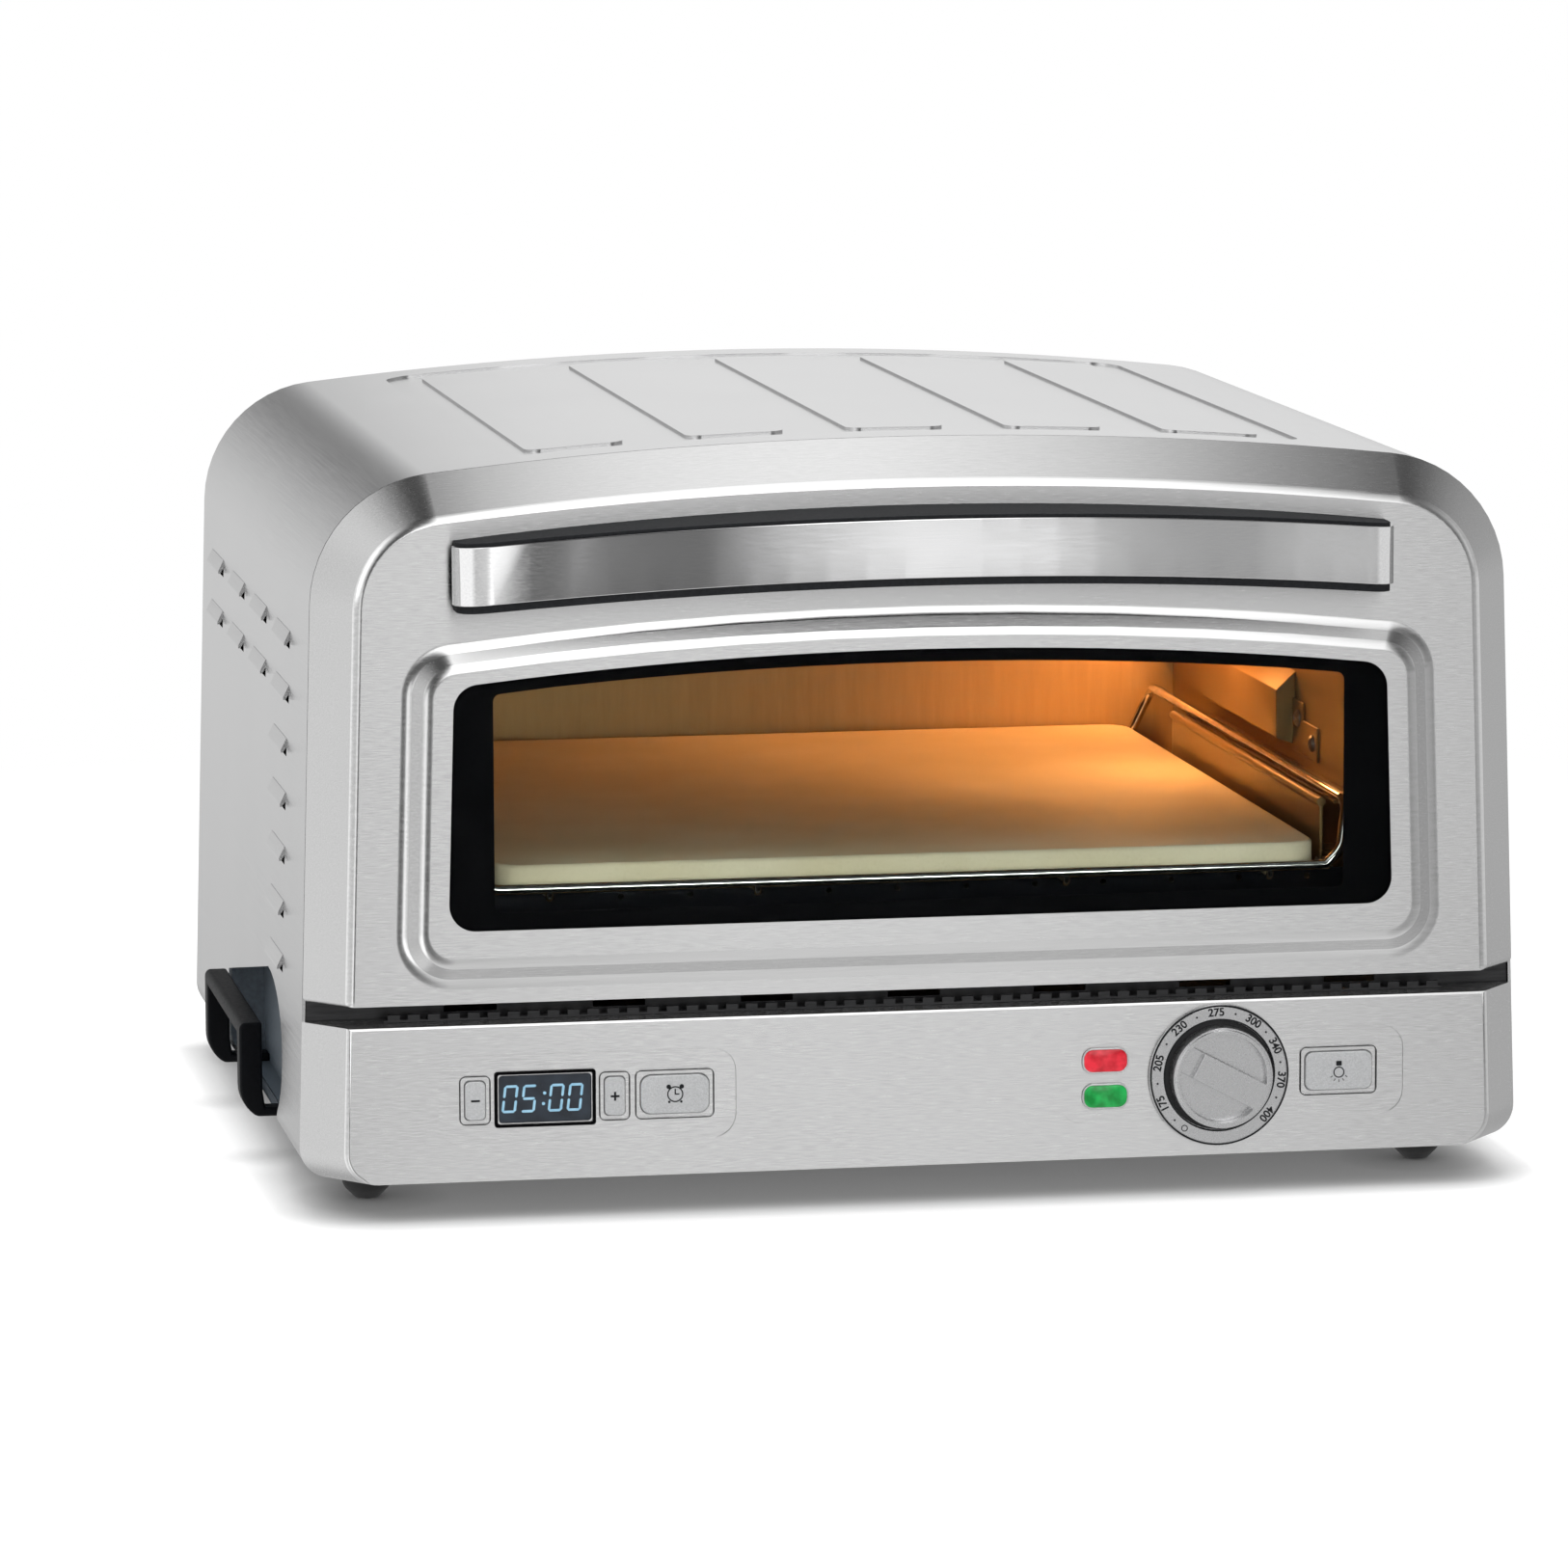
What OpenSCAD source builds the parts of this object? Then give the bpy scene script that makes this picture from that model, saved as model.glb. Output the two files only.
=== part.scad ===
// Countertop pizza oven with a drop-down glazed door, a stone on a sliding wire rack and a control panel.
// Millimetres, +Z up, front towards -Y. The origin is the middle of the footprint, on the worktop.
// Inside the modules y = 0 is the seam between the door and the case; seat() moves each piece to the origin.

/* [Body] */
// Width of the case at the level of the worktop
body_w = 475; // [430:1:520]
// Height of the roof at its middle
body_h = 292; // [270:1:310]
// Depth of the case from the door seam to the rear cover
case_d = 383; // [350:1:430]
// Lean of each side, inward for each millimetre up
side_lean = 0.03; // [0.01:0.005:0.04]
// Radius of the arched roof
roof_r = 1673; // [1400:1:2400]
// Radius of the upper corners
corner_r = 50; // [40:1:60]
// Radius of the lower corners
low_corner_r = 12; // [8:1:14]
// Sheet thickness of the skins
sheet = 1.2; // [0.8:0.1:1.5]
// Depth of the pressed field in the roof, which leaves five pads standing
roof_press = 1; // [0.5:0.1:1.2]
// Distance of the pressed field inside the case's sides
roof_field_in = 80.5; // [76:0.5:84]
// Distance of the pressed field from the roof's front and rear
roof_field_end = 22; // [16:1:26]
// Width of one pad
pad_w = 38; // [30:1:42]
// Distance of the pads' ends from the roof's front and rear
pad_end = 36; // [32:1:60]
// Width of the sloped edge round the door and the panel
bevel_w = 15.5; // [12:0.5:18]
// Depth of the door and of the panel in front of the seam
front_d = 19; // [18:0.5:22]

/* [Feet] */
// Height of the rubber feet
foot_h = 15; // [12:1:20]
// Diameter of a foot where it meets the base
foot_d = 19; // [16:1:24]
// Diameter of a foot on the worktop
foot_low_d = 9; // [6:1:14]
// Distance of the feet inside the case's sides
foot_in = 30.5; // [25.5:0.5:47.5]
// Distance of the feet from the front and rear of the case
foot_y = 36; // [30:1:60]

/* [Control panel] */
// Height of the control panel
panel_h = 60; // [58:0.5:62]
// Depth of the pressed fields in the panel
panel_press = 0.6; // [0.4:0.1:0.9]
// Height of the pressed fields
field_h = 34.5; // [32:0.5:40]
// Height of the middle of the controls above the panel's lower edge
control_up = 31; // [30:0.5:33]
// Distance of the timer field from the left side of the case
timer_field_in = 51.5; // [49.5:0.5:55.5]
// Width of the timer field
timer_field_w = 113.5; // [112:0.5:118]
// Distance of the dial field from the right side of the case
dial_field_in = 50; // [48.5:0.5:54]
// Width of the dial field
dial_field_w = 135; // [132:0.5:138]
// Middle of the minus key along the timer field
minus_along = 13.8; // [12:0.1:15]
// Middle of the plus key along the timer field
plus_along = 67; // [66:0.1:68]
// Width of the minus and plus keys
key_w = 7.8; // [6:0.1:9]
// Height of the keys
key_h = 14.8; // [12:0.1:16]
// Middle of the start key along the timer field
start_along = 90; // [89:0.1:92]
// Width of the start key and the lamp key
wide_key_w = 26.2; // [22:0.1:28]
// Middle of the lamp key along the dial field
lamp_key_along = 109.5; // [107.5:0.1:111.5]
// How far the keys stand out
key_proud = 1.4; // [1:0.1:2]
// Travel of a key
key_travel = 1.2; // [0.6:0.1:1.4]
// Middle of the timer display along the timer field
display_along = 40.5; // [39:0.1:42]
// Width of the timer display
display_w = 35.4; // [32:0.1:38]
// Height of the timer display
display_h = 18.2; // [15:0.1:22]
// Middle of the two indicator lenses along the dial field
lens_along = 18.1; // [16.5:0.1:21.5]
// Width of an indicator lens
lens_w = 14.2; // [12:0.1:16]
// Height of an indicator lens
lens_h = 6; // [5:0.1:8]
// Distance between the two lenses
lens_step = 13.8; // [10:0.1:18]

/* [Dial] */
// Middle of the dial along the dial field
dial_along = 62.3; // [59.5:0.1:65.5]
// Outer diameter of the dial ring
ring_d = 54.6; // [50:0.2:56]
// Inner diameter of the dial ring
ring_bore_d = 42.6; // [41:0.2:44]
// Thickness of the dial ring
ring_t = 1.5; // [1:0.1:2]
// Diameter of the knob
knob_d = 38.8; // [34:0.2:40]
// Depth of the knob
knob_depth = 9; // [8:0.5:14]
// Width of the knob's grip bar
grip_bar_w = 10.6; // [8:0.2:14]
// Direction of the knob's pointer at rest, from straight up towards the left
pointer_rest = 62; // [0:1:80]
// Diameter of the knob's shaft
shaft_d = 6; // [5:0.5:8]

/* [Door] */
// Height of the gap between the panel and the door
door_gap = 8; // [7.5:0.1:10]
// Raised height of the frame round the window
frame_proud = 3; // [2:0.5:3]
// Width of the sloped side of the raised frame
frame_slope_w = 7.8; // [6:0.2:10]
// Distance of the window's sides inside the case's sides
window_in = 52.2; // [49.5:0.1:59]
// Height of the window's lower edge above the door's lower edge
window_up = 28; // [26:0.5:33]
// Distance of the window's upper edge under the roof
window_down = 78.5; // [76:0.5:87]
// Corner radius of the window
window_r = 10; // [6:0.5:14]
// Flat margin of the raised frame beside the window
frame_side = 9.5; // [8:0.5:10]
// Flat margin of the raised frame under the window
frame_low = 12.4; // [10:0.2:13]
// Flat margin of the raised frame over the window
frame_top = 6.5; // [6:0.5:8]
// How far the outer pane reaches past the window
glass_lap = 4; // [3:0.5:5]
// Thickness of a glass pane
glass_t = 4; // [3:0.5:4.5]
// How much narrower the opening in the inner panel is than the window, on each side
inner_lap = 17.3; // [14:0.1:23]
// How far the opening in the inner panel reaches under the window
inner_under = 3; // [0:0.5:6]
// Distance of the inner panel's opening under the window's upper edge
inner_over = 1.5; // [0:0.5:10]

/* [Door hinge] */
// Distance of the hinge pins in front of the seam
pin_front = 13; // [12.5:0.1:13.5]
// Height of the hinge pins above the door's lower edge
pin_up = 4.6; // [4.4:0.1:6]
// Diameter of the hinge pins
pin_d = 4; // [3:0.1:4.2]
// Distance of the hinge brackets inside the case's sides
hinge_in = 26.5; // [26:0.5:31]
// Thickness of a hinge bracket
bracket_t = 4; // [3:0.5:4.5]
// Thickness of a hinge ear
ear_t = 2; // [1.5:0.1:2.2]
// Radius of a bracket's nose
nose_r = 3.6; // [3.2:0.1:3.8]

/* [Door handle] */
// Distance of the handle's ends inside the case's sides
handle_in = 57.5; // [53.5:0.5:87]
// How far the handle's middle stands out from the seam
handle_reach = 59; // [50:0.5:66]
// How far the handle's ends lie behind its middle
handle_bow = 20; // [10:0.5:24]
// Corner radius of the handle's ends in plan
handle_end_r = 16; // [10:1:18]
// Distance of the handle's top under the roof, at the middle
handle_down = 24; // [23:0.5:31]
// Height of the steel strap
strap_h = 22; // [16:0.5:24]
// Thickness of the steel strap
strap_t = 1.2; // [1:0.1:1.6]
// Wall of the handle body
grip_wall = 4; // [3:0.5:6]
// Length of the solid stand at each end
stand_len = 27; // [20:1:40]
// Depth of the lip under the strap
lip_h = 3; // [2:0.5:5]

/* [Cavity] */
// Distance of the chamber's sides inside the case's sides
cavity_in = 54.5; // [47.5:0.5:59.5]
// Height of the chamber's floor above the door's lower edge
cavity_up = 17; // [15:1:20]
// Distance of the chamber's ceiling under the roof
cavity_down = 82; // [76:1:84]
// Room between the chamber and the rear of the case
rear_room = 22.6; // [16:0.2:26]
// Wall of the chamber liner
liner_t = 0.8; // [0.6:0.1:1.5]

/* [Rack and stone] */
// Room between the pizza stone and the chamber's sides
stone_in = 23; // [22:0.5:33]
// Room between the pizza stone and the chamber's rear
stone_rear = 7.4; // [6.4:0.2:20]
// Thickness of the pizza stone
stone_t = 11; // [8:0.5:14]
// Height of the stone's upper face above the chamber's floor
stone_up = 31; // [30.5:0.5:33]
// Distance of the stone's front edge behind the seam
stone_front = 8; // [7:0.5:9]
// Diameter of the rack's main wire
wire_d = 4; // [3:0.1:4.4]
// Diameter of the wires under the stone
cross_wire_d = 3; // [2.4:0.1:3.2]
// Distance of the side wires inside the chamber's sides
wire_in = 11; // [9:0.5:12]
// Height of the side wires above the stone
wire_up = 15; // [14:0.5:18]
// Height of the guides' rolled edge above the stone
guide_up = 12.3; // [11:0.1:13]
// Travel of the rack when the door is fully open
rack_travel = 56; // [40:1:60]

/* [Heaters and lamp] */
// Diameter of a heater rod
heater_d = 8; // [6:0.5:9]
// Distance of the upper heater rods under the chamber's ceiling
upper_heater_down = 8; // [6:0.5:10]
// Height of the lower heater rods above the chamber's floor
lower_heater_up = 8; // [6:0.5:9]
// Distance of the first heater rod from the chamber's front
heater_front = 80; // [60:1:100]
// Distance of the last heater rod from the chamber's rear
heater_rear = 68; // [40:1:100]
// Length of the lamp cover
lamp_len = 132; // [100:1:140]
// Distance of the lamp cover's top under the chamber's ceiling, as a share of the chamber's height
lamp_share = 0.273; // [0.25:0.001:0.32]
// How far the lamp cover stands into the chamber
lamp_proud = 8; // [6:0.5:9]
// Distance of the lamp cover's rear end from the chamber's rear
lamp_rear = 88.4; // [78:0.4:108]

/* [Carry handles] */
// How far a carry handle stands out from the case's side
grip_proud = 9; // [7:0.5:14]
// Depth of a carry handle's bar
grip_w = 9; // [8:0.5:12]
// Thickness of a carry handle's bar
grip_bar_t = 5.5; // [4:0.5:8]
// Height of a carry handle's top above the panel's lower edge
grip_up = 39.5; // [35:0.5:45]
// Front end of a carry handle
grip_y = 119; // [112:1:130]
// Length of a carry handle
grip_len = 132; // [110:1:140]
// Depth of the pocket behind a carry handle
pocket_d = 15; // [12:1:16]

/* [Side vents] */
// Length of one vent slot
vent_len = 44; // [30:1:50]
// Height of one vent slot
vent_h = 4; // [3:0.5:6]
// Distance of the first column of slots from the seam
vent_front = 83; // [70:1:90]
// Distance of the last column of slots from the rear of the case
vent_rear = 58.5; // [40:0.5:80]
// Distance between two rows of slots
vent_row_step = 21; // [18:0.5:24]
// Distance of the top row of slots under the roof
vent_down = 81; // [76:0.5:90]
// How far the hoods over the slots stand out
vent_hood = 2.2; // [1.5:0.1:3]

/* [Hidden] */
$fn = 48;

// Small distances: between pieces that stay clear of each other, round a pane, and past a cut's face
gap = 0.3;
pane_gap = 0.2;
past = 1;
fillet_steps = 12;
roof_steps = 10;
running_fit = 0.06;
tight_fit = 0.02;
edge_r = 2;

half_w = body_w / 2;
spacer_d = 8;
y_shift = (handle_reach - case_d - spacer_d) / 2;
slope = sqrt(1 + side_lean * side_lean);
roof_centre = body_h - roof_r;
panel_top = foot_h + panel_h;
control_z = foot_h + control_up;
timer_field_x = timer_field_in - half_w;
dial_field_x = half_w - dial_field_in - dial_field_w;
minus_x = timer_field_x + minus_along;
display_x = timer_field_x + display_along;
plus_x = timer_field_x + plus_along;
start_x = timer_field_x + start_along;
lens_x = dial_field_x + lens_along;
dial_x = dial_field_x + dial_along;
lamp_key_x = dial_field_x + lamp_key_along;
field_floor = panel_press - front_d;

// The door's rear edge clears the case as it swings down about the pins
door_low = panel_top + door_gap;
door_back = sqrt(pow(pin_front - gap, 2) - pin_up * pin_up) - pin_front;
front_back = sheet - front_d;
pin_z = door_low + pin_up;
pin_y = -pin_front;
hinge_x = half_w - hinge_in;
window_half = half_w - window_in;
window_low = door_low + window_up;
window_top = body_h - window_down;
inner_half = window_half - inner_lap;
inner_low = window_low - inner_under;
inner_top = window_top - inner_over;
inner_mid_z = (inner_low + inner_top) / 2;
inner_h = inner_top - inner_low;
handle_half = half_w - handle_in;

liner_y = 2 * sheet;
liner_back = case_d - rear_room;
cavity_half = half_w - cavity_in;
cavity_low = door_low + cavity_up;
cavity_top = body_h - cavity_down;
cavity_mid_z = (cavity_low + cavity_top) / 2;
cavity_h = cavity_top - cavity_low;
stone_w = 2 * (cavity_half - stone_in);
stone_d = liner_back - stone_rear - stone_front;
stone_top = cavity_low + stone_up;
stone_low = stone_top - stone_t;
wire_x = cavity_half - wire_in;
wire_z = stone_top + wire_up;
shelf_z = wire_z - wire_d / 2 - gap;
guide_x = stone_w / 2 + 5.5;
upper_heater_z = cavity_top - upper_heater_down;
lower_heater_z = cavity_low + lower_heater_up;
grip_x = half_w + grip_proud;
grip_z = foot_h + grip_up;
base_half = half_w - low_corner_r - 1.5;
skin_inside = sheet + 0.2;

// Points on an arc, from angle a to angle b
function arc(x, z, r, a, b, steps) =
    [for (i = [0:steps]) [x + r * cos(a + (b - a) * i / steps), z + r * sin(a + (b - a) * i / steps)]];

// All points but the first
function rest_of(points) = [for (i = [1:len(points) - 1]) points[i]];

// The right half of an outline and its mirror image
function both_sides(right) =
    concat(right, [for (i = [len(right) - 1:-1:0]) if (right[i][0] > 0.001) [-right[i][0], right[i][1]]]);

// Place of an upper corner's centre, for leaning sides under the arched roof
function corner_z(half, top, r) =
    let (a = half - r * slope, far = top - roof_centre - r, b = a * side_lean + roof_centre)
    (b + sqrt(b * b - slope * slope * (a * a + roof_centre * roof_centre - far * far))) / (slope * slope);
function corner_x(half, top, r) = half - r * slope - side_lean * corner_z(half, top, r);

// Outline with leaning sides, an arched top that follows the roof, and rounded corners
function arched(half, top, low, r_top, r_low) =
    let (
        cx = corner_x(half, top, r_top),
        cz = corner_z(half, top, r_top),
        lean_angle = atan(side_lean),
        roof_angle = atan2(cz - roof_centre, cx),
        low_z = low + r_low,
        low_x = half - r_low * slope - side_lean * low_z
    )
    both_sides(concat(
        arc(low_x, low_z, r_low, -90, lean_angle, fillet_steps),
        arc(cx, cz, r_top, lean_angle, roof_angle, fillet_steps),
        rest_of(arc(0, roof_centre, top - roof_centre, roof_angle, 90, roof_steps))
    ));

// Outline of the case, moved inward by a distance, from a given lower edge
function case_outline(inward, low, r_low) =
    arched(half_w - inward * slope, body_h - inward, low, corner_r - inward, r_low);

// Rounded rectangle about a middle
function rounded(w, h, r) =
    concat(
        arc(w / 2 - r, r - h / 2, r, -90, 0, 6), arc(w / 2 - r, h / 2 - r, r, 0, 90, 6),
        arc(r - w / 2, h / 2 - r, r, 90, 180, 6), arc(r - w / 2, r - h / 2, r, 180, 270, 6)
    );

// Moves a piece from the door seam to the part's origin
module seat() translate([0, y_shift, 0]) children();

// A flat shape in X and Z, given depth from front to back
module slab(front, back) translate([0, back, 0]) rotate([90, 0, 0]) linear_extrude(back - front) children();

// A round bar along X, Y or Z
module bar_x(x0, x1, y, z, r) translate([x0, y, z]) rotate([0, 90, 0]) cylinder(h = x1 - x0, r = r);
module bar_y(x, y0, y1, z, r) translate([x, y1, z]) rotate([90, 0, 0]) cylinder(h = y1 - y0, r = r);

// A round bar between two points
module bar(a, b, r) {
    v = b - a;
    translate(a) rotate([0, acos(v[2] / norm(v)), atan2(v[1], v[0])]) cylinder(h = norm(v), r = r);
}

// The same piece on the left and on the right
module left_and_right() for (side = [0, 1]) mirror([side, 0, 0]) children();

// Solid with the case's outline at the back and a sloped edge down to a smaller front face
module bevelled(inward, top, low, r_low, front, back) hull() {
    slab(back - 0.01, back) intersection() {
        polygon(case_outline(inward, low, r_low));
        translate([-body_w, 0]) square([2 * body_w, top]);
    }
    slab(front, front + 0.01) intersection() {
        polygon(case_outline(inward + bevel_w, low, r_low));
        translate([-body_w, 0]) square([2 * body_w, top]);
    }
}

// Raised frame round the window, moved inward by a wall
frame_foot_r = window_r + 8;
frame_face_r = window_r + 2;

module raised_frame(wall) hull() {
    slab(wall - front_d, wall - front_d + 0.01) polygon(arched(
        window_half + frame_side + frame_slope_w - wall, window_top + frame_top + frame_slope_w - wall,
        window_low - frame_low - frame_slope_w + wall, frame_foot_r - wall, frame_foot_r - wall));
    slab(wall - front_d - frame_proud, wall - front_d - frame_proud + 0.01) polygon(arched(
        window_half + frame_side - wall, window_top + frame_top - wall,
        window_low - frame_low + wall, frame_face_r - wall, frame_face_r - wall));
}

// Outline of a carry handle's end: a hook that curves in under the side
hook_r = 14;
hook_low = foot_h + 2;
hook_t = 3.5;
hook_rise = 10;
grip_edge = 1.5;
hook_start = asin((hook_low - foot_h - hook_r) / hook_r);
pocket_back_x = half_w - sheet - pocket_d;
grip_profile = concat(
    [[grip_x - grip_w, grip_z], [grip_x - grip_w, hook_low + hook_rise],
     [grip_x - grip_w - 1, hook_low + hook_t], [pocket_back_x, hook_low + hook_t], [pocket_back_x, hook_low]],
    arc(grip_x - hook_r, foot_h + hook_r, hook_r, hook_start, 0, 8),
    [[grip_x, grip_z - grip_edge], [grip_x - grip_edge, grip_z]]
);

// Outline in Y and Z of the opening behind a carry handle, grown outward by a distance: a round nose at the
// front, and an upper edge that falls to the handle's rear end
pocket_over = 23;
pocket_high = grip_z + pocket_over;
pocket_nose_y = grip_y - 4;
pocket_nose_len = 53;
pocket_rear_y = grip_y + grip_len + 6;
nose_steps = 16;
function pocket_outline(by) =
    let (mid_z = (hook_low + pocket_high) / 2, half_h = (pocket_high - hook_low) / 2 + by)
    concat(
        [for (i = [0:nose_steps]) let (a = 90 + i * 180 / nose_steps)
            [pocket_nose_y + (pocket_nose_len + by) * cos(a), mid_z + half_h * sin(a)]],
        [[pocket_rear_y + by, hook_low - by], [pocket_rear_y + by, grip_z - 1 + by]]
    );

// A shape in Y and Z, given width from x0 to x1
module side_plate(x0, x1) translate([x0, 0, 0]) rotate([90, 0, 90]) linear_extrude(x1 - x0) children();

// Slots of the right side, as [distance behind the seam, height]: two full rows, and a column under the first
// that ends over the pocket
hood_t = 0.8;
hood_edge = 0.5;
vent_top = body_h - vent_down;
vent_col_step = (case_d - vent_front - vent_rear) / 3;
vent_rows = floor((vent_top - pocket_high - 2 * vent_h + hood_edge) / vent_row_step);
vent_places = concat(
    [for (col = [0:3], row = [0, 1]) [vent_front + col * vent_col_step, vent_top - row * vent_row_step]],
    [for (row = [2:vent_rows]) [vent_front + 5, vent_top - row * vent_row_step]]
);

module vent_hoods() for (place = vent_places) {
    wall_x = half_w - side_lean * place[1];
    slot_top = place[1] + vent_h;
    slab(place[0] - vent_len / 2, place[0] + vent_len / 2) polygon([
        [wall_x - 1, slot_top + 1], [wall_x, slot_top + 1], [wall_x + vent_hood, place[1] + hood_edge],
        [wall_x + vent_hood, place[1] - hood_edge], [wall_x + vent_hood - hood_t, place[1] - hood_edge],
        [wall_x - 1, slot_top - 1]
    ]);
}

module vent_cuts() for (place = vent_places)
    translate([half_w - vent_h * 5, place[0] - vent_len / 2, place[1] - vent_h / 2])
        cube([vent_h * 5 + past, vent_len, vent_h]);

// The roof's pressed field seen from above, grown by a distance: a rounded rectangle without the five pads
field_corner_r = 12;
pad_corner_r = 6;
field_half = half_w - roof_field_in;
field_len = case_d - 2 * roof_field_end;
pad_len = case_d - 2 * pad_end;
pad_side = 14;
pad_step = (field_half - pad_w / 2 - pad_side) / 2;
module roof_field(by) translate([0, case_d / 2, body_h - corner_r]) linear_extrude(corner_r + past)
    difference() {
        polygon(rounded(2 * field_half + 2 * by, field_len + 2 * by, field_corner_r + by));
        for (i = [-2:2]) translate([i * pad_step, 0])
            polygon(rounded(pad_w - 2 * by, pad_len - 2 * by, pad_corner_r - by));
    }

// Layer of the case between two depths under its outer face
module case_layer(y0, y1, upper, lower) slab(y0, y1) difference() {
    polygon(case_outline(upper, foot_h + upper, low_corner_r - sheet));
    polygon(case_outline(lower, foot_h + lower, low_corner_r - lower));
}

module outer_case() color("silver") seat() {
    difference() {
        union() {
            slab(0, case_d) difference() {
                polygon(case_outline(0, foot_h, low_corner_r));
                polygon(case_outline(sheet, foot_h + sheet, low_corner_r - sheet));
            }
            intersection() {
                case_layer(pane_gap, case_d - pane_gap, sheet / 2, sheet + roof_press);
                roof_field(sheet);
            }
        }
        intersection() {
            case_layer(0, case_d, -past, roof_press);
            roof_field(0);
        }
        translate([-base_half, -past, foot_h - past])
            cube([2 * base_half, case_d + 2 * past, sheet + 2 * past]);
        left_and_right() {
            vent_cuts();
            side_plate(half_w - 2 * low_corner_r, half_w + past) polygon(pocket_outline(0));
        }
    }
    left_and_right() vent_hoods();
}

base_slot_w = 4;
base_slot_len = 70;
base_slot_front = 90;
base_slot_rear = 103;
base_slot_in = 74;
base_slot_step = (base_half - base_slot_in) / 5;
base_slot_rows = [base_slot_front, case_d - base_slot_rear - base_slot_len];

module base_plate() color("gray") seat() difference() {
    translate([-base_half, 0, foot_h]) cube([2 * base_half, case_d - 2 * sheet, sheet]);
    for (i = [-5:5], y = base_slot_rows) translate([i * base_slot_step - base_slot_w / 2, y, foot_h - past])
        cube([base_slot_w, base_slot_len, sheet + 2 * past]);
}

// Places of the four feet
foot_x = half_w - foot_in;
module feet_places() for (x = [-foot_x, foot_x], y = [foot_y, case_d - foot_y])
    translate([x, y, 0]) children();

foot_round = 6;

module rubber_feet() color("black") seat() feet_places() rotate_extrude() polygon(concat(
    [[0, 0], [foot_low_d / 2, 0]],
    arc(foot_d / 2 - foot_round, foot_h / 2, foot_round, -50, 0, 6),
    [[foot_d / 2, foot_h], [0, foot_h]]
));

screw_head_r = 3.5;
screw_head_t = 2;

module foot_screws() color("silver") seat() feet_places()
    translate([0, 0, foot_h + sheet]) cylinder(h = screw_head_t, r = screw_head_r);

cover_front = case_d - sheet;
cover_slot_w = 16;
cover_slot_h = 5;
cover_slot_down = 102;
cover_slot_in = 110;
cover_slot_low = body_h - cover_slot_down;
cover_slot_cols = floor((half_w - cover_slot_in) / (1.5 * cover_slot_w));

gland_in = 67.5;
gland_up = 27;
gland_x = half_w - gland_in;
gland_z = foot_h + gland_up;
gland_neck_r = 7;
gland_bore_r = 3.6;
gland_proud = 5;
gland_inside = cover_front - 3;

module rear_cover() color("gray") seat() difference() {
    slab(cover_front, case_d) polygon(case_outline(skin_inside, foot_h + skin_inside, low_corner_r - sheet));
    for (row = [0:3], i = [-cover_slot_cols:cover_slot_cols])
        translate([(1.5 * i - 0.5) * cover_slot_w, cover_front - past, cover_slot_low + row * cover_slot_w])
            cube([cover_slot_w, sheet + 2 * past, cover_slot_h]);
    bar_y(gland_x, cover_front - past, case_d + past, gland_z, gland_neck_r + tight_fit);
}

// Screws of the rear cover on the right and in the middle, as [distance from the middle, height]
screw_in = 37.5;
screw_up = 45;
screw_down = 24;
side_screw_down = 92;
roof_screw_in = 107.5;
screw_places = [
    [half_w - screw_in, foot_h + screw_up], [half_w - screw_in, body_h - side_screw_down],
    [half_w - roof_screw_in, body_h - screw_down], [0, body_h - screw_down], [0, foot_h + screw_up]
];

module cover_screws() color("silver") seat() for (place = screw_places, side = place[0] > 0 ? [-1, 1] : [0])
    bar_y(side * place[0], case_d, case_d + screw_head_t, place[1], screw_head_r);

spacer_in = 87.5;
spacer_up = 95;
spacer_down = 52;
spacer_w = 34;
spacer_h = 14;
spacer_r = 4;

module rear_spacers() color("black") seat() left_and_right()
    for (z = [foot_h + spacer_up, body_h - spacer_down])
        slab(case_d, case_d + spacer_d) translate([half_w - spacer_in, z])
            polygon(rounded(spacer_w, spacer_h, spacer_r));

module cord_gland() color("black") seat() difference() {
    union() {
        bar_y(gland_x, case_d, case_d + gland_proud, gland_z, gland_neck_r + 3);
        bar_y(gland_x, gland_inside, case_d, gland_z, gland_neck_r);
    }
    bar_y(gland_x, gland_inside - past, case_d + gland_proud + past, gland_z, gland_bore_r);
}

// A hole through the panel's front, for a rounded key, lens or display
module panel_hole(x, z, w, h, r) slab(-front_d - past, front_back + past)
    translate([x, z]) polygon(rounded(w + 2 * gap, h + 2 * gap, r));

// A rounded piece that shows in the panel and is held by a flange behind it
flange_w = 1.5;
module panel_piece(x, z, w, h, r, front, flange_front, back) {
    slab(front, back) translate([x, z]) polygon(rounded(w, h, r));
    slab(flange_front, back) translate([x, z]) polygon(rounded(w + 2 * flange_w, h + 2 * flange_w, r + 1));
}

// A pressed field in the panel's front
module panel_field(x, w) slab(-front_d - past, field_floor)
    translate([x + w / 2, control_z]) polygon(rounded(w, field_h, panel_field_r));

panel_field_r = 9;
small_key_r = 2;
start_key_r = 4;
lamp_key_r = 3;
pane_corner_r = 1.5;

// A hole that a pane or a lens fills
module pane_hole(x, z, w, h) panel_hole(x, z, w - 2 * gap, h - 2 * gap, pane_corner_r);

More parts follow.
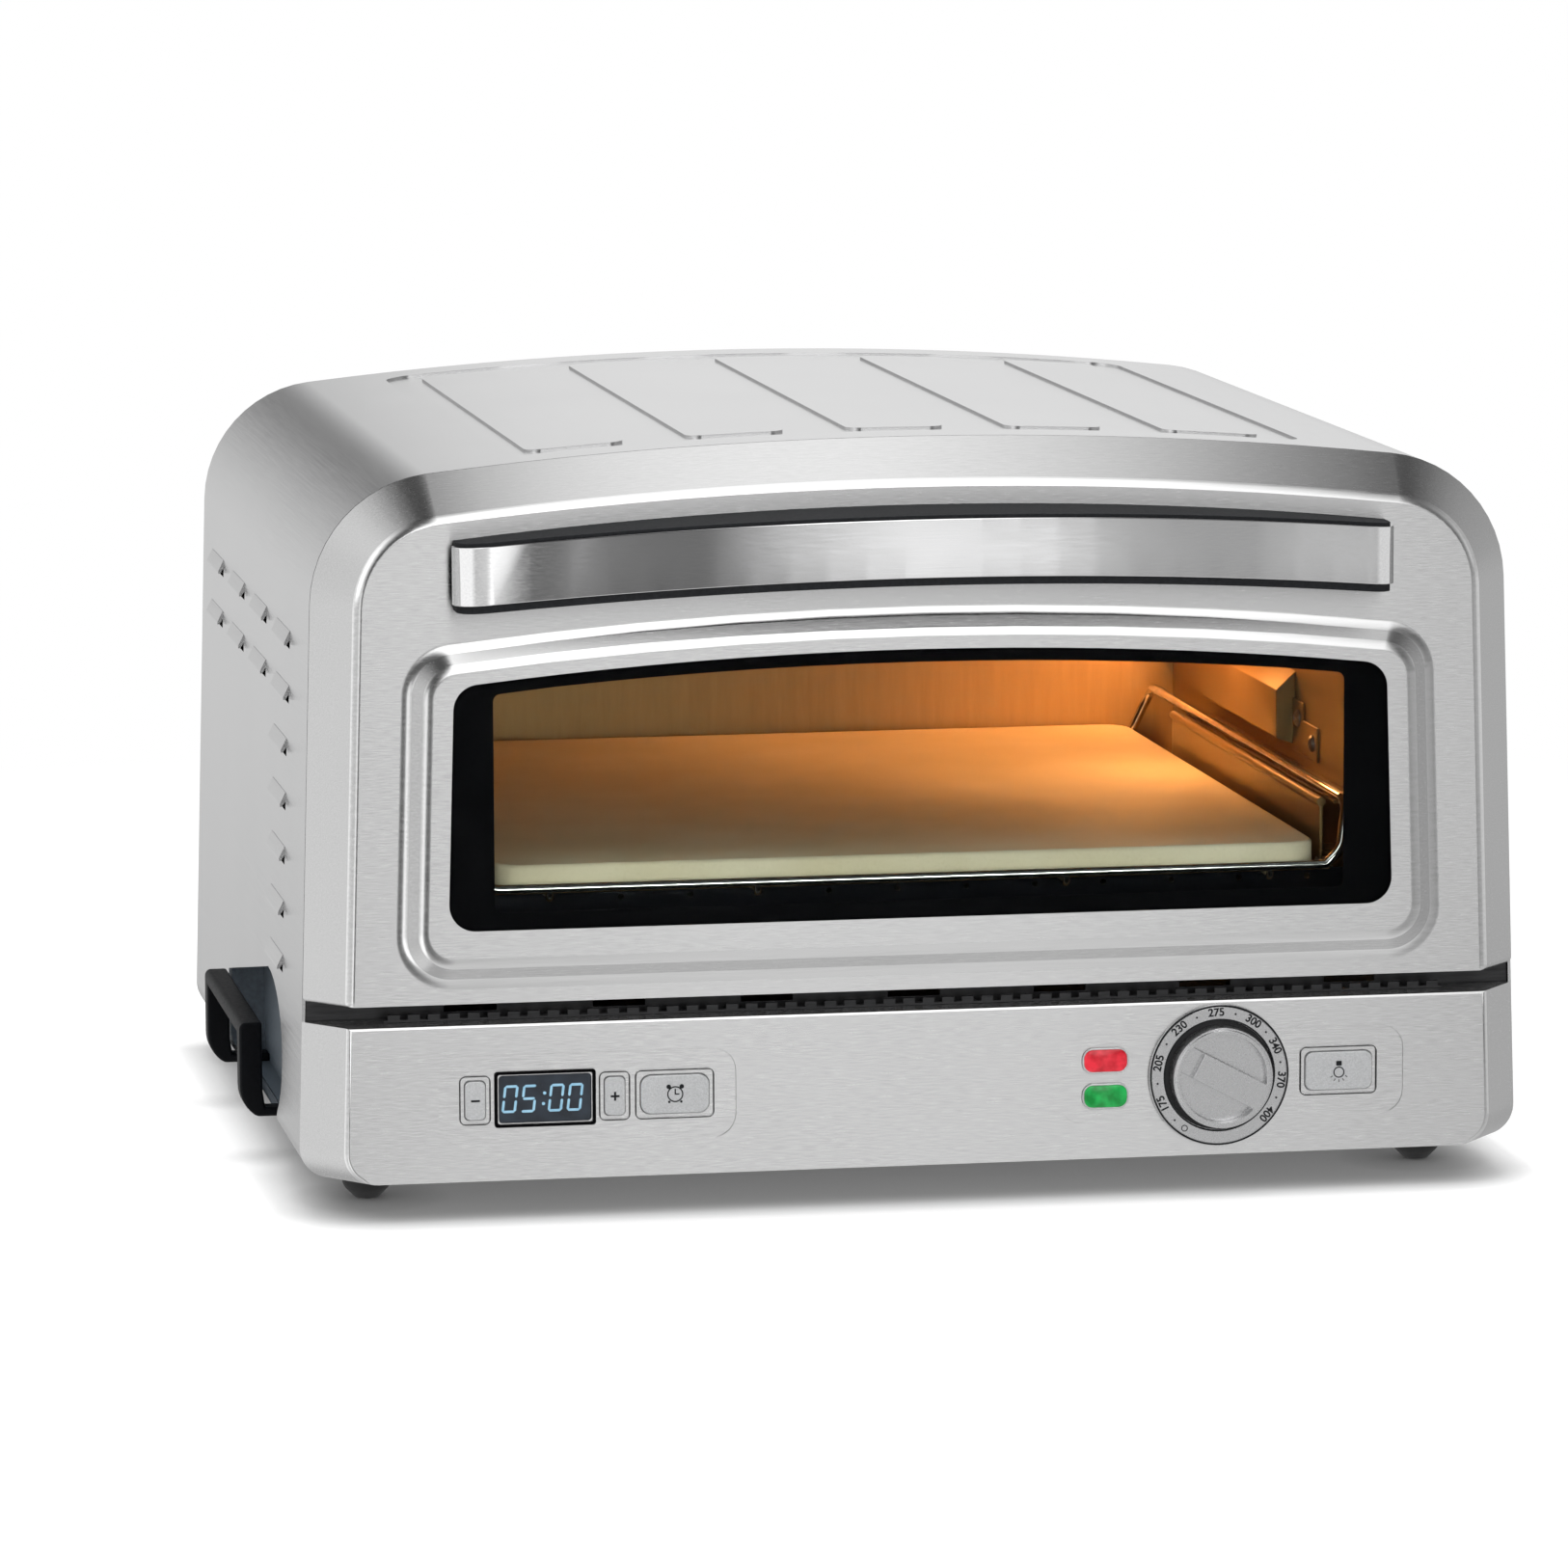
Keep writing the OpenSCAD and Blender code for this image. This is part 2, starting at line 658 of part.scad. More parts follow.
module control_panel() color("lightgray") seat() difference() {
    bevelled(0, panel_top, foot_h, low_corner_r, -front_d, 0);
    bevelled(sheet, panel_top - sheet, foot_h + sheet, low_corner_r - sheet, front_back, past);
    panel_field(timer_field_x, timer_field_w);
    panel_field(dial_field_x, dial_field_w);
    panel_hole(minus_x, control_z, key_w, key_h, small_key_r);
    panel_hole(plus_x, control_z, key_w, key_h, small_key_r);
    panel_hole(start_x, control_z, wide_key_w, key_h, start_key_r);
    panel_hole(lamp_key_x, control_z, wide_key_w, key_h, lamp_key_r);
    pane_hole(display_x, control_z, display_w, display_h);
    for (side = [-1, 1]) pane_hole(lens_x, control_z + side * lens_step / 2, lens_w, lens_h);
    bar_y(dial_x, -front_d - past, front_back + past, control_z, shaft_d / 2 + 1);
}

strip_y = -9;
strip_t = 1.2;
tooth_pitch = 7.6;
tooth_w = 4.6;
tooth_h = 3;
strip_in = 32;
tooth_count = floor(2 * (half_w - strip_in) / tooth_pitch);
strip_half = tooth_pitch * tooth_count / 2;

module vent_strip() color("dimgray") seat() slab(strip_y, strip_y + strip_t) {
    translate([-strip_half, panel_top]) square([2 * strip_half, 1]);
    for (i = [0:tooth_count - 1])
        translate([(i + 0.5) * tooth_pitch - strip_half - tooth_w / 2, panel_top]) square([tooth_w, tooth_h]);
}

face_front = sheet;
face_back = 2 * sheet;
face_low = panel_top - 8;
face_corner_r = 8;
notch_in = 66.5;
notch_step = (half_w - notch_in) / 3;
notch_w = 20;
notch_h = 5;

module face_frame() color("silver") seat() difference() {
    slab(face_front, face_back) polygon(case_outline(skin_inside, face_low, 3));
    slab(face_front - past, face_back + past) translate([0, cavity_mid_z])
        polygon(rounded(2 * cavity_half, cavity_h, face_corner_r));
    left_and_right() translate([hinge_x - bracket_t / 2 - pane_gap, 0, pin_z - nose_r])
        cube([bracket_t + 2 * pane_gap, face_back + past, 2 * nose_r]);
    for (i = [-3:3]) translate([i * notch_step - notch_w / 2, 0, panel_top + 2])
        cube([notch_w, face_back + past, notch_h]);
}

bracket_foot_w = 16;
bracket_foot_h = 14;
bracket_foot_t = 2;
bracket_tail = 10;

module hinge_brackets() color("gray") seat() left_and_right() difference() {
    union() {
        bar_x(hinge_x - bracket_t / 2, hinge_x + bracket_t / 2, pin_y, pin_z, nose_r);
        translate([hinge_x - bracket_t / 2, pin_y, pin_z - nose_r + pane_gap])
            cube([bracket_t, pin_front + bracket_tail, 2 * nose_r - 2 * pane_gap]);
        translate([hinge_x - bracket_foot_w / 2, face_back, pin_z - bracket_foot_h / 2])
            cube([bracket_foot_w, bracket_foot_t, bracket_foot_h]);
    }
    bar_x(hinge_x - bracket_t, hinge_x + bracket_t, pin_y, pin_z, pin_d / 2 + running_fit);
}

liner_r = 2;

module cavity_liner() color("lightgray") seat() difference() {
    slab(liner_y, liner_back + liner_t) translate([0, cavity_mid_z])
        polygon(rounded(2 * cavity_half + 2 * liner_t, cavity_h + 2 * liner_t, liner_r + liner_t));
    slab(liner_y - past, liner_back) translate([0, cavity_mid_z])
        polygon(rounded(2 * cavity_half, cavity_h, liner_r));
    translate([cavity_half - past, lamp_y + lamp_lap, lamp_low + lamp_lap])
        cube([liner_t + 2 * past, lamp_len - 2 * lamp_lap, lamp_h - 2 * lamp_lap]);
}

// Front edge of the tray under the stone, with its row of dimples
sill_y = 34;
sill_t = 1.2;
sill_half = cavity_half - 4;
sill_flange = 14;
sill_top = stone_low - cross_wire_d - gap;
dimple_in = 17;
dimple_step = (sill_half - dimple_in) / 6;
dimple_r = 1.2;

module cavity_sill() color("dimgray") seat() difference() {
    translate([-sill_half, sill_y, cavity_low]) {
        cube([2 * sill_half, sill_t, sill_top - cavity_low]);
        cube([2 * sill_half, sill_flange, sill_t]);
    }
    for (i = [-6:6]) bar_y(i * dimple_step, sill_y - past, sill_y + past + sill_t, sill_top - 3, dimple_r);
}

first_heater_y = liner_y + heater_front;
last_heater_y = liner_back - heater_rear;
heater_places = [first_heater_y, (first_heater_y + last_heater_y) / 2, last_heater_y];
rod_half = cavity_half - 5;
holder_wall = 1.5;

module heater_rods(z) for (y = heater_places) bar_x(-rod_half, rod_half, y, z, heater_d / 2);

module upper_heaters() color("darkgray") seat() heater_rods(upper_heater_z);

module lower_heaters() color("darkgray") seat() heater_rods(lower_heater_z);

module heater_holders() color("gainsboro") seat() left_and_right()
    for (y = heater_places, z = [upper_heater_z, lower_heater_z])
        bar_x(rod_half, cavity_half, y, z, heater_d / 2 + holder_wall);

front_bar_z = stone_low + 2.5;
front_bar_y = stone_front - wire_d / 2 - 2;
rear_bar_y = stone_front + stone_d + wire_d / 2 + 0.4;
front_bend = 12;
rear_bend = 10;
side_front = front_bar_y + front_bend;
side_back = rear_bar_y - rear_bend;
cross_z = stone_low - cross_wire_d / 2;

// The bent main wire on the right: the front bar's end rises beside the stone, the side runs to the rear over
// the guide's shelf, and the rear end drops inward to the rear bar
front_bar_half = wire_x - 15;
rear_bar_half = wire_x - 11;
front_foot_x = wire_x - 9;
rear_knee_x = wire_x - 7;
knee_z = wire_z - 6;
wire_route = [
    [front_bar_half, front_bar_y, front_bar_z], [front_foot_x, front_bar_y, front_bar_z + 8],
    [front_foot_x + 3, front_bar_y + 2, knee_z], [wire_x, side_front, wire_z],
    [wire_x, side_back, wire_z], [rear_knee_x, rear_bar_y, knee_z + 3],
    [rear_bar_half, rear_bar_y, front_bar_z]
];

// A bend between two bars is a bead a little thicker than the wire
bead_r = wire_d / 2 + 0.1;
post_r = cross_wire_d / 2 - 0.4;
low_wire_in = 20;
low_wire_x = stone_w / 2 - low_wire_in;
low_wire_places = [-low_wire_x, -low_wire_x * 3 / 7, low_wire_x * 3 / 7, low_wire_x];

// The guides begin behind the rack's front bend, and end before its rear bend reaches them at full travel
guide_clear = 3;
guide_y = side_front + 4 * guide_clear;
guide_len = side_back - rack_travel - guide_clear - guide_y;
guide_low = stone_low + 1;
guide_top = stone_top + guide_up;
guide_t = 1.2;
roll_r = 1.8;
strut_w = 16;

module rack_guides() color("silver") seat() left_and_right() {
    translate([guide_x, guide_y, guide_low]) cube([guide_t, guide_len, guide_top - guide_low]);
    bar_y(guide_x + guide_t / 2, guide_y, guide_y + guide_len, guide_top, roll_r);
    for (y = [guide_y + strut_w, guide_y + guide_len - 2 * strut_w])
        translate([guide_x, y, guide_low]) cube([cavity_half - guide_x, strut_w, guide_t]);
    translate([wire_x - 1, guide_y, shelf_z - guide_t]) cube([cavity_half - wire_x + 1, guide_len, guide_t]);
}

lamp_over_wire = 4;
lamp_low = wire_z + lamp_over_wire;
lamp_top = cavity_top - lamp_share * cavity_h;
lamp_h = lamp_top - lamp_low;
lamp_y = liner_back - lamp_rear - lamp_len;
lamp_wall = 1.5;
lamp_lap = lamp_h / 5;
lamp_top_slope = lamp_h / 4;
lamp_low_slope = lamp_h / 10;
tab_t = 1;
tab_h = 14;

// Outline in X and Z of the lamp cover, moved inward by its wall. The hollow runs out through the liner.
function lamp_outline(wall, side_x) =
    let (front_x = cavity_half - lamp_proud + wall)
    [
        [side_x, lamp_low + wall], [side_x, lamp_top - wall],
        [front_x, lamp_top - lamp_top_slope - wall / 2], [front_x, lamp_low + lamp_low_slope + wall]
    ];

// Tabs of the lamp cover, as [front end behind the seam, lower edge, length]
short_tab = 16;
long_tab = 40;
tab_up = 5;
long_tab_down = 2;
lamp_tabs = [
    [lamp_y - short_tab, lamp_low + tab_up, short_tab],
    [lamp_y - long_tab, lamp_low - long_tab_down, long_tab],
    [lamp_y + lamp_len, lamp_low + tab_up, short_tab]
];

module lamp_cover() color("moccasin") seat() {
    difference() {
        slab(lamp_y, lamp_y + lamp_len) polygon(lamp_outline(0, cavity_half));
        slab(lamp_y + lamp_wall, lamp_y + lamp_len - lamp_wall)
            polygon(lamp_outline(lamp_wall, cavity_half + past));
    }
    for (tab = lamp_tabs) translate([cavity_half - tab_t, tab[0], tab[1]]) cube([tab_t, tab[2], tab_h]);
}

module lamp_screws() color("silver") seat() for (tab = lamp_tabs) {
    y = tab[0] < lamp_y ? tab[0] + tab_h / 2 : tab[0] + tab[2] - tab_h / 2;
    bar_x(cavity_half - tab_t - screw_head_t, cavity_half - tab_t, y, tab[1] + tab_h / 2, screw_head_r);
}

bulb_r = 9;
bulb_len = 50;
bulb_out = 14;
bulb_back = 30;
bulb_x = cavity_half + bulb_out;
bulb_z = lamp_low + lamp_h / 2;
bulb_y = lamp_y + bulb_back;

module lamp_bulb() color("lightyellow") seat() {
    bar_y(bulb_x, bulb_y, bulb_y + bulb_len, bulb_z, bulb_r);
    translate([bulb_x, bulb_y, bulb_z]) sphere(r = bulb_r);
}

socket_y = bulb_y + bulb_len;
socket_len = 20;
socket_r = 12;
socket_bore_r = 2;
arm_t = 2;
arm_lap = 4;

// The socket stands on an arm from the liner's side
module lamp_socket() color("white") seat() difference() {
    union() {
        bar_y(bulb_x, socket_y, socket_y + socket_len, bulb_z, socket_r);
        translate([cavity_half + liner_t, socket_y + socket_len, bulb_z - socket_r - arm_lap])
            cube([bulb_out + socket_r, arm_t, 2 * socket_r + 2 * arm_lap]);
    }
    bar_y(bulb_x, socket_y + socket_len / 2, socket_y + socket_len + arm_t + past, bulb_z, socket_bore_r);
}

pane_t = 2;
lens_proud = 0.5;

// A pane that fills its hole in the panel, from a given front
module pane(x, z, w, h, front) panel_piece(
    x, z, w - 2 * pane_gap, h - 2 * pane_gap, pane_corner_r, front, front_back, front_back + pane_t);

module display_window() color("darkslategray") seat()
    pane(display_x, control_z, display_w, display_h, field_floor + gap);

module power_lens() color("crimson") seat()
    pane(lens_x, control_z + lens_step / 2, lens_w, lens_h, -front_d - lens_proud);

module ready_lens() color("limegreen") seat()
    pane(lens_x, control_z - lens_step / 2, lens_w, lens_h, -front_d - lens_proud);

// The timer board stands behind the room that the keys need for their travel and for the switches
key_back = front_back + gap + flange_w;
switch_room = 3;
board_y = key_back + key_travel + switch_room;
board_in = 6;
board_x = timer_field_x + board_in;
board_w = timer_field_w - 2 * board_in;
board_h = 28;
board_t = 1.6;
post_x = 3;
post_z = board_h / 2 - post_x;

module timer_board() color("darkgreen") seat()
    translate([board_x, board_y, control_z - board_h / 2]) cube([board_w, board_t, board_h]);

module board_posts() color("dimgray") seat()
    for (x = [board_x + post_x, board_x + board_w - post_x], z = [-post_z, post_z])
        bar_y(x, front_back, board_y, control_z + z, 2);

// A key: a cap that shows, and a flange behind the panel that keeps it in
module key(x, w, r) panel_piece(
    x, control_z, w, key_h, r, field_floor - key_proud, front_back + gap, key_back);

module minus_key() color("gainsboro") seat() key(minus_x, key_w, small_key_r);

module plus_key() color("gainsboro") seat() key(plus_x, key_w, small_key_r);

module start_key() color("gainsboro") seat() key(start_x, wide_key_w, start_key_r);

module lamp_key() color("gainsboro") seat() key(lamp_key_x, wide_key_w, lamp_key_r);

ring_edge = 0.8;

module dial_ring() color("silver") seat() difference() {
    union() {
        bar_y(dial_x, -front_d - ring_t, -front_d, control_z, ring_d / 2 - ring_edge);
        bar_y(dial_x, -front_d - ring_t + ring_edge, -front_d, control_z, ring_d / 2);
    }
    bar_y(dial_x, -front_d - ring_t - past, past - front_d, control_z, ring_bore_d / 2);
}

knob_back = -front_d - gap;
knob_front = knob_back - knob_depth;
knob_edge = 0.8;
knob_rim = 2.4;
dish_depth = 4;
pad_depth = 3;
pad_z = knob_d / 2 - 8.5;
shaft_reach = 6;

// The round hollow in the knob's face, inside its rim
module knob_hollow(depth) bar_y(0, knob_front - past, knob_front + depth, 0, knob_d / 2 - knob_rim);

// The pointer is straight up before the knob is turned to its rest place
module knob() color("silver") seat() translate([dial_x, 0, control_z]) rotate([0, -pointer_rest, 0])
    difference() {
        union() {
            bar_y(0, knob_front + knob_edge, knob_back, 0, knob_d / 2);
            bar_y(0, knob_front, knob_back, 0, knob_d / 2 - knob_edge);
        }
        for (x = [grip_bar_w / 2, -knob_d - grip_bar_w / 2]) intersection() {
            knob_hollow(dish_depth);
            translate([x, knob_front - past, -knob_d / 2]) cube([knob_d, dish_depth + past, knob_d]);
        }
        intersection() {
            knob_hollow(pad_depth);
            translate([-knob_d / 2, knob_front - past, pad_z]) cube([knob_d, pad_depth + past, knob_d]);
        }
        bar_y(0, knob_back - shaft_reach, knob_back + past, 0, shaft_d / 2 + tight_fit);
    }

module knob_shaft() color("darkgray") seat()
    bar_y(dial_x, knob_back - shaft_reach, shaft_end, control_z, shaft_d / 2);

shaft_end = 2;
thermostat_r = 14;
thermostat_end = 6;
plate_w = 44;
plate_h = 26;
plate_r = 3;

module thermostat() color("dimgray") seat() difference() {
    union() {
        slab(front_back, front_back + pane_t) translate([dial_x, control_z])
            polygon(rounded(plate_w, plate_h, plate_r));
        bar_y(dial_x, front_back + pane_t, thermostat_end, control_z, thermostat_r);
    }
    bar_y(dial_x, -front_d, shaft_end + 2, control_z, shaft_d / 2 + running_fit);
}

cheek_t = 10;

// A carry handle on the right side: a bar between two ends that hook in under the case
module carry_handle() difference() {
    slab(grip_y, grip_y + grip_len) polygon(grip_profile);
    translate([pocket_back_x - past, grip_y + cheek_t, 0])
        cube([2 * grip_x, grip_len - 2 * cheek_t, grip_z - grip_bar_t]);
}

module carry_handle_right() color("black") seat() carry_handle();

module carry_handle_left() color("black") seat() mirror([1, 0, 0]) carry_handle();

pocket_wall = 1.2;

// The pan behind a carry handle on the right side, inside the case's skin
module pocket() difference() {
    intersection() {
        side_plate(pocket_back_x - pocket_wall, half_w) polygon(pocket_outline(2));
        slab(0, case_d) polygon(case_outline(skin_inside, foot_h + skin_inside, low_corner_r - sheet));
    }
    side_plate(pocket_back_x, half_w + past) polygon(pocket_outline(0));
}

module pocket_right() color("slategray") seat() pocket();

module pocket_left() color("slategray") seat() mirror([1, 0, 0]) pocket();

// Notch in the door for one hinge bracket
ear_gap = 0.8;
notch_x = hinge_x - bracket_t / 2 - ear_gap;
notch_width = bracket_t + 2 * ear_gap;
notch_top = pin_z + nose_r + 1;
module hinge_notch() translate([notch_x, front_back, door_low - past])
    cube([notch_width, front_d + past, notch_top - door_low + past]);

module door_shell() color("silver") seat() difference() {
    union() {
        bevelled(0, 2 * body_h, door_low, edge_r, -front_d, door_back);
        raised_frame(0);
    }
    bevelled(sheet, 2 * body_h, door_low + sheet, edge_r / 2, front_back, past);
    raised_frame(sheet);
    slab(-2 * front_d, 0) polygon(arched(window_half, window_top, window_low, window_r, window_r));
    left_and_right() hinge_notch();
    left_and_right()
        bar_y(stand_x, -front_d - past, front_back + past, strap_mid_z, handle_screw_r + pane_gap);
}

pane_front = front_back - frame_proud;

module door_glass() color("black") seat() slab(pane_front, pane_front + glass_t) polygon(arched(
    window_half + glass_lap, window_top + glass_lap, window_low - glass_lap, window_r, window_r));

inner_t = 1.2;
inner_back = door_back;
inner_front = inner_back - inner_t;
inner_corner_r = 8;

// The panel's edge follows the slope of the door's shell at its own depth
panel_inward = sheet + bevel_w * (past - inner_front) / (past - front_back) + gap;
ear_low = door_low + skin_inside;
ear_front = front_back + 0.5;
ear_h = 11;

module door_inner_panel() color("lightgray") seat() difference() {
    union() {
        slab(inner_front, inner_back) polygon(case_outline(panel_inward, ear_low, edge_r));
        left_and_right() for (x = [notch_x - ear_t, notch_x + notch_width])
            translate([x, ear_front, ear_low]) cube([ear_t, inner_back - ear_front, ear_h]);
    }
    slab(inner_front - past, 0) translate([0, inner_mid_z])
        polygon(rounded(2 * inner_half, inner_h, inner_corner_r));
    left_and_right() hinge_notch();
    bar_x(-half_w, half_w, pin_y, pin_z, pin_d / 2 + tight_fit);
}

glass_side_lap = 6;
glass_end_lap = 5;

module door_inner_glass() color("lightblue") seat() slab(inner_front - glass_t, inner_front)
    translate([0, inner_mid_z])
        polygon(rounded(2 * (inner_half + glass_side_lap), inner_h + 2 * glass_end_lap, inner_corner_r));

clip_in = 58;
clip_x = inner_half - clip_in;
clip_w = 16;
clip_t = 1;
clip_h = 9;
clip_lap = glass_end_lap - 1;

module glass_clips() color("gray") seat() for (x = [-clip_x, clip_x], end = [0, 1])
    translate([x - clip_w / 2, inner_front - glass_t - clip_t, inner_mid_z]) mirror([0, 0, end])
        translate([0, 0, inner_h / 2 + glass_end_lap - clip_lap]) {
            cube([clip_w, clip_t, clip_h]);
            translate([0, 0, clip_lap + pane_gap])
                cube([clip_w, glass_t + clip_t, clip_h - clip_lap - pane_gap]);
        }

hinge_pin_half = notch_width / 2 + ear_t;

module hinge_pins() color("silver") seat() left_and_right()
    bar_x(hinge_x - hinge_pin_half, hinge_x + hinge_pin_half, pin_y, pin_z, pin_d / 2);

strap_down = 1.3;
strap_leg = 1.1;
screw_drop = 7;
handle_top = body_h - handle_down;
strap_top = handle_top - strap_down;
strap_low = strap_top - strap_h;
strap_mid_z = strap_top - screw_drop - strap_h / 2;
handle_screw_r = 2;
screw_grip = 8;
handle_cut = 30;
arch_steps = 12;
handle_low = strap_low - lip_h;
stand_x = handle_half - stand_len / 2;

// Height lost by an arch that follows the roof, at a distance from the middle
function arch_drop(x) = roof_r - sqrt(roof_r * roof_r - x * x);

// Band between two heights that follows the roof's arch
function arch_band(low, high, half) = concat(
    [for (i = [-arch_steps:arch_steps]) let (x = -half * i / arch_steps) [x, high - arch_drop(x)]],
    [for (i = [-arch_steps:arch_steps]) let (x = half * i / arch_steps) [x, low - arch_drop(x)]]
);

// Outline of the handle seen from above, moved inward by a distance
bow_r = (handle_half * handle_half + handle_bow * handle_bow) / (2 * handle_bow);
function plan_corner_y(r) =
    bow_r - handle_reach - sqrt(pow(bow_r - r, 2) - pow(handle_half - handle_end_r, 2));
function handle_plan(inward, back) =
    let (
        r = handle_end_r - inward,
        cx = handle_half - handle_end_r,
        cy = plan_corner_y(handle_end_r),
        edge = asin(cx / (bow_r - handle_end_r))
    )
    concat(
        [[handle_half - inward, back]],
        arc(cx, cy, r, 0, edge - 90, 8),
        rest_of(arc(0, bow_r - handle_reach, bow_r - inward, edge - 90, -90 - edge, 2 * arch_steps)),
        rest_of(arc(-cx, cy, r, -90 - edge, -180, 8)),
        [[inward - handle_half, back]]
    );

strap_rear = plan_corner_y(handle_end_r) + strap_leg;

module handle_block(inward, back, low, high) translate([0, 0, low]) linear_extrude(high - low)
    polygon(handle_plan(inward, back));

module handle_body() color("dimgray") seat() difference() {
    intersection() {
        handle_block(strap_t + 0.1, -front_d, handle_low - handle_cut, handle_top + past);
        slab(-handle_reach - past, -front_d) polygon(arch_band(handle_low, handle_top, handle_half + past));
    }
    intersection() {
        handle_block(strap_t + grip_wall, past - front_d, handle_low - handle_cut, handle_top);
        slab(-handle_reach - past, past - front_d)
            polygon(arch_band(handle_low - handle_cut, handle_top - grip_wall, handle_half - stand_len));
    }
    left_and_right()
        bar_y(stand_x, -front_d - screw_grip - past, past - front_d, strap_mid_z, handle_screw_r);
}

module handle_strap() color("gainsboro") seat() intersection() {
    difference() {
        handle_block(0, strap_rear, handle_low - handle_cut, handle_top + past);
        handle_block(strap_t, past - front_d, handle_low - handle_cut - past, handle_top + 2 * past);
    }
    slab(-handle_reach - past, -front_d) polygon(arch_band(strap_low, strap_top, handle_half + past));
}

module handle_screws() color("silver") seat() left_and_right() {
    bar_y(stand_x, front_back, front_back + screw_head_t, strap_mid_z, screw_head_r);
    bar_y(stand_x, -front_d - screw_grip, front_back, strap_mid_z, handle_screw_r - tight_fit);
}

module wire_rack() color("silver") seat() {
    bar_x(-front_bar_half, front_bar_half, front_bar_y, front_bar_z, wire_d / 2);
    bar_x(-rear_bar_half, rear_bar_half, rear_bar_y, front_bar_z, wire_d / 2);
    left_and_right() {
        for (i = [0:len(wire_route) - 2]) bar(wire_route[i], wire_route[i + 1], wire_d / 2);
        for (point = wire_route) translate(point) sphere(r = bead_r);
    }
    for (x = low_wire_places) {
        bar_y(x, front_bar_y - 1, rear_bar_y + 1, cross_z, cross_wire_d / 2);
        for (y = [front_bar_y, rear_bar_y]) translate([x, y, cross_z])
            cylinder(h = front_bar_z - cross_z, r = post_r);
    }
}

stone_corner_r = 12;

module pizza_stone() color("ivory") seat() translate([0, stone_front + stone_d / 2, stone_low])
    linear_extrude(stone_t) polygon(rounded(stone_w, stone_d, stone_corner_r));

outer_case();
rear_cover();
base_plate();
rubber_feet();
foot_screws();
cover_screws();
rear_spacers();
cord_gland();
control_panel();
vent_strip();
face_frame();
hinge_brackets();
cavity_liner();
cavity_sill();
upper_heaters();
lower_heaters();
heater_holders();
rack_guides();
lamp_cover();
lamp_bulb();
lamp_socket();
lamp_screws();
display_window();
timer_board();
board_posts();
power_lens();
ready_lens();
dial_ring();
thermostat();
carry_handle_left();
carry_handle_right();
pocket_left();
pocket_right();
door_shell();
door_glass();
door_inner_panel();
door_inner_glass();
glass_clips();
handle_body();
handle_strap();
handle_screws();
hinge_pins();
wire_rack();
pizza_stone();
knob();
knob_shaft();
minus_key();
plus_key();
start_key();
lamp_key();
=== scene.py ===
"""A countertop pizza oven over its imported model: steel skins, glazed door, controls, lit chamber, studio."""

import math

import bpy
from bpy.props import FloatProperty, FloatVectorProperty, IntProperty, PointerProperty, StringProperty
from mathutils import Matrix, Vector


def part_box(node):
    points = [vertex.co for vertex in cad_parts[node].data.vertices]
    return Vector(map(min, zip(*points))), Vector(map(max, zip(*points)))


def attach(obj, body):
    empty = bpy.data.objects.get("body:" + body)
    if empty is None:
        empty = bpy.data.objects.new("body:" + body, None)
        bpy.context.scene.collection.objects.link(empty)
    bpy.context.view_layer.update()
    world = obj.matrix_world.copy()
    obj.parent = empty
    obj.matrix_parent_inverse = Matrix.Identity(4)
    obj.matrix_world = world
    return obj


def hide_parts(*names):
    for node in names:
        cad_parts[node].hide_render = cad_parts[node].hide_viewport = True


bl_info = {
    "name": "Pizza Oven",
    "version": (1, 0, 0),
    "blender": (4, 5, 0),
    "location": "3D View > Sidebar > Pizza Oven",
    "description": "Builds a countertop pizza oven with its finishes, its lit chamber and its studio",
    "category": "Add Mesh",
}

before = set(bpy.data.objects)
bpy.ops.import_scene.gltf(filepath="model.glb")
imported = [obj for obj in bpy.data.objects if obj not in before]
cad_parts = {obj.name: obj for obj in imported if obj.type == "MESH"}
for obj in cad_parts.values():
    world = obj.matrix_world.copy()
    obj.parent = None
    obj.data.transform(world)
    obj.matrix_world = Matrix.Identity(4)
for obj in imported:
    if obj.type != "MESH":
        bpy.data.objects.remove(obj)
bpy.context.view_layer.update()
MM = 0.001

# The planes, middles and boxes that the pieces are fitted to
PANEL_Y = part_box("control_panel")[0].y
PANEL_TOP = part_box("control_panel")[1].z
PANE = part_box("door_glass")
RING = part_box("dial_ring")
DIAL_X = (RING[0].x + RING[1].x) / 2
CONTROL_Z = (RING[0].z + RING[1].z) / 2
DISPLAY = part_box("display_window")
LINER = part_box("cavity_liner")
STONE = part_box("pizza_stone")
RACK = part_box("wire_rack")
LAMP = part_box("lamp_cover")
ROOF_RADIUS = 1673 * MM

# The radius of the dial's numbers, the thickness of its ink, and half the length and width of a key's bar
MARKS_RADIUS = 24.3 * MM
INK = 0.08 * MM
SIGN_HALF = 1.7 * MM
SIGN_BAR = 0.4 * MM

# How far the normals of a flat front and of a slope beside it face forward, as parts of one
FLAT = 0.9999
SLOPE = (0.3, 0.985)

# The point that the studio lights face, and the photograph's viewpoint: its place, its lens, and its turn,
# tilt and roll in degrees
MIDDLE = (0, 0, 0.15)
VIEW_FROM = (-0.565156, -3.088178, 0.586741)
VIEW_TURN = (-9.992, 8.177, -0.212)
VIEW_LENS = 181.35


def srgb(code):
    """Linear colour, with alpha, from a hex code of sRGB."""
    parts = [int(code[i : i + 2], 16) / 255 for i in (1, 3, 5)]
    return [c / 12.92 if c <= 0.04045 else ((c + 0.055) / 1.055) ** 2.4 for c in parts] + [1.0]


